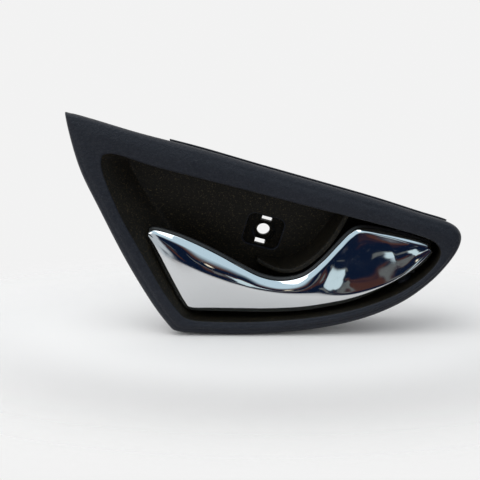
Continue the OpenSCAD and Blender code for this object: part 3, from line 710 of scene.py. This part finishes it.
def housing_rings(bezel):
    """Rings from the cup floor over the rim to the back of the floor, and the tag of each band."""
    s = bezel.settings
    crown_edge, lip_edge, draft, corner_round = 1.0 * MM, 0.4 * MM, 1.5 * MM, 0.3 * MM
    inner, outer_skirt = bezel.rim + s.skirt_height, s.skirt_wall + draft
    bow, bow_start, bow_full = 0.2 * MM, 0.5, 0.93
    wall_end = bezel.down_wall(bow_full, -bow)
    corner = bezel.down_wall(0.995, -0.75 * bow)
    floor_start = bezel.down_wall(1, -s.floor_fillet)
    front = [bezel.down_wall(1, -s.floor_fillet - 0.5 * MM)]
    front += [bend(floor_start, corner, wall_end, k / 5) for k in range(6)]
    for share in (0.8, 0.65, 0.5, 0.35, 0.2, 0.08, 0):
        bowed = max(0.0, (share - bow_start) / (bow_full - bow_start))
        front.append(bezel.down_wall(share, -bow * bowed))
    cup_bands = len(front) + 1
    for degrees in range(15, 91, 15):
        a = math.radians(degrees)
        drop = s.lip_radius - (s.lip_radius - lip_edge) * math.sin(a)
        front.append(bezel.from_lip(s.lip_radius * (1 - math.cos(a)), bezel.rim + drop))
    inside, outside = bezel.from_lip(s.lip_radius, 0), bezel.from_edge(s.edge_radius, 0)
    for tenths in range(1, 10):
        share = tenths / 10
        ring = inside * (1 - share) + outside * share
        ring[:, 1] = bezel.rim + (crown_edge if share > 0.5 else lip_edge) * (1 - 2 * share) ** 2
        front.append(ring)
    for degrees in range(90, -1, -10):
        a = math.radians(degrees)
        drop = s.edge_drop - (s.edge_drop - crown_edge) * math.sin(a)
        front.append(bezel.from_edge(s.edge_radius * (1 - math.cos(a)), bezel.rim + drop))
    back = [
        bezel.from_edge(draft - 0.1 * MM, inner - corner_round),
        bezel.from_edge(draft + corner_round, inner),
        bezel.from_edge(outer_skirt - corner_round, inner),
        bezel.from_edge(outer_skirt, inner - corner_round),
        bezel.from_edge(s.skirt_wall + 0.4 * MM, bezel.rim + s.edge_drop + 1 * MM),
        bezel.from_edge(s.edge_radius + 0.9 * MM, bezel.rim + crown_edge + s.wall),
        bezel.from_lip(s.wall, bezel.rim + s.lip_radius + s.wall),
        bezel.down_wall(0.5, s.wall),
        bezel.down_wall(0.95, s.wall),
        bezel.down_wall(1, s.wall - 1.6 * MM, s.wall / math.cos(s.floor_tilt)),
    ]
    rings = [np.clip(ring, FRAME_BOX[0], FRAME_BOX[1]) for ring in front + back]
    return rings, [CUP if k < cup_bands else RIM for k in range(len(rings) - 1)]


def ridge_rings(bezel):
    """Sections of the ridge between the cup and the lever's bay, rounded on top."""
    s = bezel.settings
    steps, round_top, foot_share = 10, 0.5 * MM, 1.3
    top, base = (curve(p, steps) * bezel.scale for p in (RIDGE_TOP, RIDGE_FOOT))
    sink = curve(RIDGE_SINK, steps)[:, 0] * MM
    rings = []
    for i, (t, b) in enumerate(zip(top, base)):
        along = unit(top[min(i + 1, len(top) - 1)] - top[max(i - 1, 0)])
        side = np.array([-along[1], along[0]]) * s.ridge_width / 2
        y = bezel.rim + s.ridge_drop + sink[i]
        ring = [(b[0], bezel.floor(b[1]) + s.wall / 2, b[1])]
        for degrees in range(0, 181, 30):
            a = math.radians(degrees)
            p = t - side * math.cos(a)
            ring.append((p[0], y + round_top * (1 - math.sin(a)), p[1]))
        p = t + side * foot_share
        ring.append((p[0], bezel.floor(p[1]) + s.wall / 2, p[1]))
        rings.append(np.array(ring))
    return rings


def rounded(width, height, radius, turn):
    """Outline of a rectangle with round corners, turned about the middle."""
    outline, steps = [], 8
    for quarter, (sx, sz) in enumerate(((1, 1), (-1, 1), (-1, -1), (1, -1))):
        x, z = sx * (width / 2 - radius), sz * (height / 2 - radius)
        for i in range(steps + 1):
            a = math.pi / 2 * (quarter + i / steps)
            outline.append((x + radius * math.cos(a), z + radius * math.sin(a)))
    c, k = math.cos(turn), math.sin(turn)
    return [(x * c + z * k, -x * k + z * c) for x, z in outline]


def seat_tools(bezel):
    """Pocket, slots and stepped hole of the screw seat, one cutter for each."""
    s = bezel.settings
    out, back = 1 * MM, bezel.seat_depth + s.seat_wall + 2 * MM
    lip, half_way, slot_gap = 0.5 * MM, 0.12 * MM, 0.6 * MM
    pocket, rings = Form(), []
    for grow, y in ((lip, -out), (lip, 0), (half_way, 0.15 * MM), (0, lip), (0, s.pocket_depth)):
        outline = bezel.pocket_outline(grow)
        rings.append(np.array([bezel.on_floor @ Vector((x, y, z)) for x, z in outline]))
    pocket.skin(rings)
    shapes = [pocket]
    turned = bezel.on_floor @ Matrix.Rotation(s.pocket_turn, 4, "Y")
    for side in (-1, 1):
        slot = Form()
        z = side * (s.seat_inner + s.slot_height / 2 + slot_gap)
        half_w, half_h = s.slot_width / 2, s.slot_height / 2
        slot.box((-half_w, 0, z - half_h), (half_w, back, z + half_h), turned)
        shapes.append(slot)
    for radius, depth in (
        (s.seat_outer, s.pocket_depth + s.seat_step), (s.seat_inner, bezel.seat_depth), (s.hole_radius, back)
    ):
        bore = Form()
        bore.disc(0, 0, radius, s.pocket_depth - out, depth, bezel.on_floor, sides=SEAT_SIDES)
        shapes.append(bore)
    return [shape.object("seat_tool") for shape in shapes]


def hinge_middle():
    """Middle of the hinge, which turns about Z."""
    return frame["record"]["behaviour"]["joints"][0]["pos_m"]


def back_features(bezel):
    """Ribs, clip towers, pegs, hinge ears and the rest buffer's post behind the bezel."""
    s = bezel.settings
    shape = Form()
    x, y, z = hinge_middle()
    root, rib_end = bezel.rim + s.wall / 2 + 1 * MM, bezel.rim + s.skirt_height - 1 * MM
    for share in RIB_SHARES:
        i = round(share * len(bezel.outer))
        side = np.array([-bezel.inward[i][1], bezel.inward[i][0]]) * RIB_WALL / 2
        a = bezel.outer[i] + bezel.inward[i] * RIB_INSET
        b = bezel.lip[i] - bezel.inward[i] * s.wall / 2
        shape.prism((a + side, a - side, b - side, b + side), root, rib_end, tag=RIM)
    half_w, half_h = TOWER_WIDTH / 2, TOWER_WALL / 2
    for px, pz, turn in CLIP_PLACES:
        cx, cz = bezel.at(px, pz)
        place = Matrix.Translation((cx, 0, cz)) @ Matrix.Rotation(math.radians(turn), 4, "Y")
        shape.box((-half_w, root, -half_h), (half_w, TOWER_END, half_h), place, RIM)
    for px, pz in PEG_PLACES:
        cx, cz = bezel.at(px, pz)
        shape.disc(cx, cz, PEG_FOOT_RADIUS, root, PEG_FOOT_END, tag=RIM)
        shape.disc(cx, cz, PEG_RADIUS, PEG_START, PEG_END, tag=RIM)
    low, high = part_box("pivot_pin")
    for z0, z1 in ((low.z + 2.0 * MM, z - EAR_GAP), (z + EAR_GAP, high.z - 1.5 * MM)):
        shape.bar(x, y, EAR_RADIUS, z0, z1, RIM)
        ear_foot = bezel.floor(z0) + s.wall / 2
        shape.box((x - EAR_RADIUS, y, z0), (x + EAR_RADIUS, ear_foot, z1), tag=RIM)
    low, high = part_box("rest_buffer")
    bx, bz = (low.x + high.x) / 2, (low.z + high.z) / 2
    shape.disc(bx, bz, BUFFER_POST_RADIUS, low.y + 3 * MM, bezel.floor(bz) + s.wall / 2, tag=RIM)
    return shape.object("housing_back")


def bracket(bezel):
    """Bracket behind the floor that seats the cable's sheath, with its open groove."""
    low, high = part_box("cable_retainer")
    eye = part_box("cable_end_bush")
    y, z = (eye[0].y + eye[1].y) / 2, (low.z + high.z) / 2
    x0, x1 = low.x - 0.4 * MM, high.x + 0.4 * MM
    y0, y1 = bezel.floor(z) + bezel.settings.wall / 2, high.y - 1.22 * MM
    out, half_mouth = 1 * MM, SHEATH_MOUTH / 2
    body, seat, mouth = Form(), Form(), Form()
    body.box((x0, y0, z - BRACKET_HALF), (x1, y1, z + BRACKET_HALF), tag=RIM)
    made = body.object("bracket")
    turned = Matrix.Translation((x0, y, z)) @ Matrix.Rotation(math.radians(-90), 4, "Z")
    seat.disc(0, 0, SHEATH_SEAT_RADIUS, -out, x1 - x0 + out, turned)
    mouth.box((x0 - out, y, z - half_mouth), (x1 + out, high.y + out, z + half_mouth))
    carve(made, seat.object("seat_tool"))
    return carve(made, mouth.object("mouth_tool"))


def window_tool(bezel):
    """Window in the floor for the crank arm."""
    x, y, z = hinge_middle()
    wall, arm_half, out = bezel.settings.wall, 3.5 * MM, 2 * MM
    low, high = z + ARM_LOW - ARM_ROOM, z + EAR_GAP
    swing = (wall + 3 * MM - y) * math.sin(ARM_TURN) + arm_half / math.cos(ARM_TURN)
    window = Form()
    window.box(
        (x - swing - ARM_ROOM, bezel.floor(high) - out, low),
        (x + arm_half + ARM_ROOM, bezel.floor(low) + wall + out, high),
    )
    return window.object("window_tool")


def flange(bezel, steps):
    """Flange that shows along the top edge, and the small step low on the nose side."""
    shape = Form()

    def inside(i, inset):
        return bezel.outer[i] + bezel.inward[i] * inset

    proud, sunk = -0.5 * MM, 2.5 * MM
    reach = range(3 * steps + steps // 2, 9 * steps + 1)
    outline = [inside(i, proud) for i in reach] + [inside(i, sunk) for i in reversed(reach)]
    shape.prism(outline, bezel.rim + 9 * MM, bezel.rim + 10.8 * MM, tag=RIM)
    first, last = 13 * steps + steps // 3, 13 * steps + 2 * steps // 3
    tab_proud, tab_sunk = -0.9 * MM, 2 * MM
    outline = [inside(first, tab_sunk), inside(first, tab_proud), inside(last, proud), inside(last, tab_sunk)]
    shape.prism(outline, bezel.rim + 8 * MM, bezel.rim + 11 * MM, tag=RIM)
    return shape.object("flange")


def boss(bezel):
    """Plate and hub behind the screw seat."""
    s = bezel.settings
    plate, hub, margin = Form(), Form(), 2 * MM
    outline = bezel.pocket_outline(margin)
    plate.prism(outline, s.wall / 2, s.pocket_depth + margin, bezel.on_floor, CUP)
    hub.disc(0, 0, HUB_RADIUS, s.wall / 2, bezel.seat_depth + s.seat_wall, bezel.on_floor, CUP, SEAT_SIDES)
    return [plate.object("seat_plate"), hub.object("seat_hub")]


class HANDLE_OT_housing(bpy.types.Operator):
    """Build the trim housing: bezel, cup, screw seat, ears, ribs, towers and pegs"""

    bl_idname = "handle.housing"
    bl_label = "Build Housing"

    def execute(self, context):
        settings = context.scene.handle_settings
        steps = steps_of(BEZEL_STEPS)
        bezel = Bezel(settings, steps)
        finishes = [rim_finish(settings), cup_finish(settings)]
        shape = Form()
        rings, tags = housing_rings(bezel)
        shape.skin(rings, tags)
        shell = shape.object("housing_skin", *finishes)
        carve(shell, window_tool(bezel))
        solids = [shell, *boss(bezel)]
        for piece in solids:
            for tool in seat_tools(bezel):
                carve(piece, tool)
        ridge, sections = Form(), ridge_rings(bezel)
        ridge.skin(sections, [CUP] * (len(sections) - 1))
        extras = [
            chamfered(back_features(bezel), 0.25 * MM),
            chamfered(bracket(bezel), 0.25 * MM),
            chamfered(flange(bezel, steps), 0.2 * MM),
        ]
        for extra in extras:
            extra.data.materials.append(finishes[RIM])
        inner = [*solids[1:], ridge.object("ridge")]
        for piece in inner:
            for plastic in finishes:
                piece.data.materials.append(plastic)
            for face in piece.data.polygons:
                looks_back = face.normal.y > 0.5
                face.material_index = RIM if looks_back else CUP
        made = joined("housing_trim", shell, *inner, *extras)
        smooth(made, 38)
        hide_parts("housing", "screw_seat")
        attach(made, "housing")
        return {"FINISHED"}


# The lever.


class Lever:
    """Places on the lever's plated front."""

    def __init__(self, settings, steps):
        self.settings = s = settings
        self.steps = steps
        scale = np.array([s.bezel_length / 100, s.bezel_height / 100, MM])
        seat_depth = s.pocket_depth + 2 * s.seat_step
        self.rim = -seat_depth / math.cos(s.floor_tilt) - s.cup_depth
        self.top, self.bevel, self.crease, self.bottom = (
            self.in_space(curve(points, steps) * scale)
            for points in (LEVER_TOP, LEVER_BEVEL, LEVER_CREASE, LEVER_BOTTOM)
        )
        self.count = len(self.top)
        station = (np.arange(self.count) / steps)[:, None]
        self.taper = np.minimum(1, np.minimum(station, station[-1] - station) / 2)
        onset = np.clip((station - DISH_START) / (DISH_FULL - DISH_START), 0, 1)
        self.dish = onset**2 * (3 - 2 * onset)

    def in_space(self, p):
        return np.column_stack([p[:, 0], self.rim + p[:, 2], p[:, 1]])

    def across(self, low, high, share, swell):
        """Place between two curves, swollen towards the user."""
        p = low * (1 - share) + high * share
        p[:, 1:2] -= 4 * swell * share * (1 - share) * self.taper
        return p

    def lower(self, share):
        return self.across(self.bottom, self.crease, share, 0.6 * MM)

    def upper(self, share):
        crown = 0.4 * MM
        swell = crown - (crown + self.settings.dish_depth) * self.dish
        return self.across(self.crease, self.bevel, share, swell)

    def border(self, share):
        return self.across(self.bevel, self.top, share, 0.0)

    def width(self, low, high):
        return np.linalg.norm(high - low, axis=1)[:, None]

    def front(self, round_crease, round_bevel):
        """Columns of places from the lower border to the upper one, with round corners."""
        lower_w = self.width(self.bottom, self.crease)
        upper_w = self.width(self.crease, self.bevel)
        border_w = self.width(self.bevel, self.top)
        edge = self.settings.shell_edge
        near_low = np.minimum(0.3, edge / lower_w)
        near_top = np.minimum(0.3, edge / border_w)
        crease_low = np.minimum(0.25, round_crease / lower_w)
        crease_high = np.minimum(0.25, round_crease / upper_w)
        bevel_low = np.minimum(0.25, round_bevel / upper_w)
        bevel_high = np.minimum(0.35, round_bevel / border_w)
        columns, dips = [], []

        def put(place, dip=0.0):
            columns.append(place)
            dips.append(dip)

        def fill(side, start, end, steps):
            for k in range(steps + 1):
                put(side(start + (end - start) * k / steps))

        def turn(before, corner, after, steps):
            for k in range(1, steps):
                put(bend(before, corner, after, k / steps))

        quarter = (0.0, 0.08, 0.25, 0.5, 0.75)
        for q in quarter:
            put(self.lower(near_low * q), edge * (1 - math.sqrt(1 - (1 - q) ** 2)))
        fill(self.lower, near_low, 1 - crease_low, 12)
        turn(self.lower(1 - crease_low), self.crease, self.upper(crease_high), 8)
        fill(self.upper, crease_high, 1 - bevel_low, 16)
        turn(self.upper(1 - bevel_low), self.bevel, self.border(bevel_high), 6)
        fill(self.border, bevel_high, 1 - near_top, 3)
        for q in reversed(quarter):
            put(self.border(1 - near_top * q), edge * (1 - math.sqrt(1 - (1 - q) ** 2)))
        return columns, dips


def lever_rings(lever):
    """Closed sections of the shell along the lever, with rounded ends."""
    edge, wall = lever.settings.shell_edge, lever.settings.shell_wall
    round_crease, round_bevel = 1.1 * MM, 0.9 * MM
    columns, dips = lever.front(round_crease, round_bevel)
    front = np.stack(columns, axis=1)
    front[:, :, 1] += np.array(dips)
    travel = np.concatenate([[0], np.cumsum(np.linalg.norm(np.diff(lever.crease, axis=0), axis=1))])
    back_places = [lever.lower(0.0), lever.lower(0.5), lever.lower(1.0)]
    back_places += [lever.upper(0.5), lever.upper(1.0), lever.border(1.0)]
    back_line = np.stack(back_places, axis=1)
    rings = []
    for i in range(lever.count):
        near = min(travel[i], travel[-1] - travel[i], edge)
        dip = edge - math.sqrt(edge**2 - (edge - near) ** 2)
        ring = front[i].copy()
        ring[:, 1] += np.maximum(dip - np.array(dips), 0)
        rear = back_line[i][::-1].copy()
        rear[:, 1] += wall
        rings.append(np.vstack([ring, rear]))
    return rings


class HANDLE_OT_lever(bpy.types.Operator):
    """Build the plated shell of the pull lever"""

    bl_idname = "handle.lever"
    bl_label = "Build Lever Shell"

    def execute(self, context):
        settings = context.scene.handle_settings
        lever = Lever(settings, steps_of(LEVER_STEPS))
        shape = Form()
        shape.skin(lever_rings(lever))
        for station, share in POST_STATIONS:
            i = station * lever.steps
            x, y, z = lever.upper(np.full((lever.count, 1), share))[i]
            shape.disc(x, z, POST_RADIUS, y + POST_START, y + POST_END)
        made = shape.object("lever_plating", plating_finish(settings))
        smooth(made, 60)
        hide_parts("lever_shell")
        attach(made, "lever")
        return {"FINISHED"}


# The return spring.


class HANDLE_OT_spring(bpy.types.Operator):
    """Build the return spring round the hinge pin"""

    bl_idname = "handle.spring"
    bl_label = "Build Return Spring"

    def execute(self, context):
        settings = context.scene.handle_settings
        x, y, z = hinge_middle()
        low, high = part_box("return_spring")
        wire, radius = settings.spring_wire, settings.spring_radius
        half = (high.z - low.z) / 2 - wire
        turns, leg = 5.5, 9 * MM
        coil_places, leg_places, wire_sides = 300, 10, 12
        coil = np.linspace(0, 1, coil_places)
        sweep = math.pi / 2 + 2 * math.pi * turns * coil
        ahead = np.column_stack([-np.sin(sweep), np.cos(sweep), np.zeros(coil_places)])
        path = np.column_stack([radius * np.cos(sweep), radius * np.sin(sweep), half * (2 * coil - 1)])
        out = np.column_stack([np.cos(sweep), np.sin(sweep), np.zeros(coil_places)])
        legs = np.linspace(1, 0.02, leg_places)[:, None] * leg
        path = np.vstack([path[0] - ahead[0] * legs, path, path[-1] + ahead[-1] * legs[::-1]])
        out = np.vstack([np.repeat(out[:1], leg_places, 0), out, np.repeat(out[-1:], leg_places, 0)])
        turn = np.linspace(0, 2 * math.pi, wire_sides, endpoint=False)
        up = np.array([0, 0, 1.0])
        rings = []
        for p, o in zip(path + np.array([x, y, z]), out):
            rings.append(np.array([p + o * wire * math.cos(a) + up * wire * math.sin(a) for a in turn]))
        shape = Form()
        shape.skin(rings)
        steel = steel_finish("spring_steel", settings.steel_colour, (0.44, 0.42, 0.38))
        made = shape.object("coil_spring", steel)
        smooth(made, 60)
        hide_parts("return_spring")
        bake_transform(made)
        return {"FINISHED"}


# Fittings and stage.


class HANDLE_OT_fittings(bpy.types.Operator):
    """Give the carrier, screws, pin, bushes, buffers, clips and pads their finishes"""

    bl_idname = "handle.fittings"
    bl_label = "Finish Fittings"

    def execute(self, context):
        settings = context.scene.handle_settings
        groups = (
            (("lever_carrier",), carrier_finish(settings)),
            (STEEL_NODES, steel_finish("zinc_steel", settings.steel_colour, (0.60, 0.58, 0.50))),
            (CLIP_NODES, steel_finish("clip_steel", settings.clip_colour, (0.36, 0.36, 0.32))),
            (NYLON_NODES, nylon_finish(settings)),
            (RUBBER_NODES, rubber_finish(settings)),
            (FELT_NODES, felt_finish(settings)),
        )
        for nodes, made in groups:
            for node in nodes:
                mesh = frame["nodes"][node].data
                mesh.materials.clear()
                mesh.materials.append(made)
        return {"FINISHED"}


def aim(obj, place, target):
    obj.location = place
    obj.rotation_mode = "QUATERNION"
    obj.rotation_quaternion = (Vector(target) - Vector(place)).to_track_quat("-Z", "Y")


def area_light(name, place, target, width, height, power, rgb):
    lamp = bpy.data.lights.new(name, "AREA")
    lamp.shape, lamp.size, lamp.size_y = "RECTANGLE", width, height
    lamp.energy, lamp.color = power, rgb
    made = bpy.data.objects.new(name, lamp)
    bpy.context.scene.collection.objects.link(made)
    aim(made, place, target)


def stage_floor(settings, height):
    """A pale floor round the handle that fades out into the white behind it."""
    made, graph = finish("stage_floor")
    point = graph.millimetres()
    x, y = graph.parts(point)[:2]
    shade = scaled(settings.stage_colour, 0.98)
    tone = graph.mix(graph.noise(point, 0.004, 2) * 0.2, settings.stage_colour, shade)
    spread = (x * x * 0.45 + y * y) ** 0.5
    solid_share = 1.0 - spread.step(FADE_START, FADE_END)
    graph.surface(Base_Color=tone, Roughness=0.85, Specular_IOR_Level=0.1, Alpha=solid_share)
    shape = Form()
    shape.box((-FLOOR_WIDTH / 2, -FLOOR_DEPTH / 2, height - 0.01), (FLOOR_WIDTH / 2, FLOOR_DEPTH / 2, height))
    shape.object("stage_floor", made)


def room_screen(radius):
    """A curved screen in front of the stage that only the gloss shows: a dim room and a cool ceiling."""
    made, graph = finish("room_screen")
    toward = graph.stretched(graph.millimetres(), (MM / radius,) * 3)
    x, _, z = graph.parts(toward)
    streaks = graph.stretched(toward, (1.0, 1.0, 2.6))
    warm = graph.noise(streaks, 2.1, 3, 0.55, 0.4).step(0.54, 0.62)
    pale = graph.noise(streaks, 3.1, 2, 0.5, 0.8).step(0.62, 0.68)
    dark = graph.mix(warm, (0.005, 0.012, 0.034), (0.085, 0.036, 0.030))
    room = graph.mix(pale, dark, (0.16, 0.17, 0.17))
    lamp = ((x - 0.15) ** 2 + (z - 0.20) ** 2) ** 0.5
    fray = (graph.noise(toward, 14.0, 3, 0.6) - 0.5) * 0.08
    across, along = x + fray, z + fray
    door = across.step(0.222, 0.236) * (1.0 - across.step(0.305, 0.32)) * along.step(-0.13, -0.11)
    hall = graph.mix(x.step(0.56, 0.66), room, (0.24, 0.25, 0.30))
    opened = graph.mix(door * (1.0 - along.step(0.09, 0.11)), hall, (0.78, 0.96, 1.02))
    side = 1.0 - (x + 2.0 * fray).step(-0.60, -0.46)
    sided = graph.mix(side, opened, (0.62, 0.68, 0.72))
    lamp_lit = graph.mix(1.0 - lamp.step(0.015, 0.035), sided, (1.5, 1.35, 1.05))
    above = graph.mix(z.step(0.24, 0.46), lamp_lit, (0.70, 0.90, 1.02))
    lit = graph.mix(z.step(-0.62, -0.42), (0.62, 0.60, 0.57), above)
    graph.surface(
        Base_Color=(0, 0, 0), Roughness=1.0, Specular_IOR_Level=0, Emission_Color=lit, Emission_Strength=1.0
    )
    shape = Form()
    columns, rows = 48, 32
    spots = []
    for j in range(rows + 1):
        rise = math.radians(-75 + 160 * j / rows)
        for i in range(columns + 1):
            turn = math.radians(-100 + 200 * i / columns)
            flat = radius * math.cos(rise)
            spots.append((flat * math.sin(turn), -flat * math.cos(turn), radius * math.sin(rise)))
    quads = []
    for j in range(rows):
        for i in range(columns):
            k = j * (columns + 1) + i
            quads.append((k, k + 1, k + columns + 2, k + columns + 1))
    shape.add(spots, quads)
    screen = shape.object("room_screen", made)
    screen.visible_camera = screen.visible_diffuse = False
    screen.visible_transmission = screen.visible_shadow = False


def studio_world():
    """A white backdrop, and a soft even light for what isn't glossy."""
    world = bpy.data.worlds.new("studio")
    world.use_nodes = True
    bpy.context.scene.world = world
    graph = Graph(world.node_tree)
    height = graph.parts(graph.node("TexCoord", output=0))[2]
    lit = graph.mix(height.step(-0.2, 0.5), (0.60, 0.59, 0.58), (0.62, 0.63, 0.64))
    ambient = graph.node("Background", None, {"Color": lit, "Strength": 1.05})
    seen = graph.node("Background", None, {"Color": (0.89, 0.89, 0.89, 1), "Strength": 1.0})
    camera, glossy, transmitted = [graph.node("LightPath", output=k) for k in (0, 3, 6)]
    both = graph.node("MixShader", None, {0: camera + glossy + transmitted, 1: ambient, 2: seen})
    graph.node("OutputWorld", None, {"Surface": both})


class HANDLE_OT_stage(bpy.types.Operator):
    """Set the floor, lights, world and camera"""

    bl_idname = "handle.stage"
    bl_label = "Set Stage"

    def execute(self, context):
        settings = context.scene.handle_settings
        stage_floor(settings, FRAME_BOX[0].z - 0.2 * MM)
        room_screen(SCREEN_RADIUS)
        studio_world()
        middle = (0, -0.03, 0)
        area_light("key", (-0.25, -0.35, 0.95), middle, 1.1, 0.8, 4.8, (1.0, 1.0, 0.99))
        area_light("side", (-1.0, -0.35, 0.35), middle, 0.5, 0.6, 1.8, (1.0, 0.98, 0.96))
        eye = bpy.data.cameras.new("camera")
        camera = bpy.data.objects.new("camera", eye)
        bpy.context.scene.collection.objects.link(camera)
        eye.lens, eye.sensor_width = CAMERA_LENS, 36.0
        eye.clip_start, eye.clip_end = 0.01, 20
        aim(camera, CAMERA_PLACE, CAMERA_TARGET)
        context.scene.camera = camera
        context.scene.view_settings.view_transform = "Standard"
        return {"FINISHED"}


class HANDLE_PT_panel(bpy.types.Panel):
    """Sizes and colours of the handle, and a button for each group of pieces"""

    bl_idname = "HANDLE_PT_panel"
    bl_label = "Door Handle"
    bl_space_type = "VIEW_3D"
    bl_region_type = "UI"
    bl_category = "Handle"

    def draw(self, context):
        for name in HandleSettings.__annotations__:
            self.layout.prop(context.scene.handle_settings, name)
        for operator in OPERATORS:
            self.layout.operator(operator.bl_idname)


OPERATORS = (HANDLE_OT_housing, HANDLE_OT_lever, HANDLE_OT_spring, HANDLE_OT_fittings, HANDLE_OT_stage)
CLASSES = (HandleSettings, *OPERATORS, HANDLE_PT_panel)


def register():
    for cls in CLASSES:
        bpy.utils.register_class(cls)
    bpy.types.Scene.handle_settings = bpy.props.PointerProperty(type=HandleSettings)


def unregister():
    del bpy.types.Scene.handle_settings
    for cls in reversed(CLASSES):
        bpy.utils.unregister_class(cls)


def main():
    register()
    bpy.ops.handle.housing()
    bpy.ops.handle.lever()
    bpy.ops.handle.spring()
    bpy.ops.handle.fittings()
    bpy.ops.handle.stage()


if __name__ == "__main__":
    main()
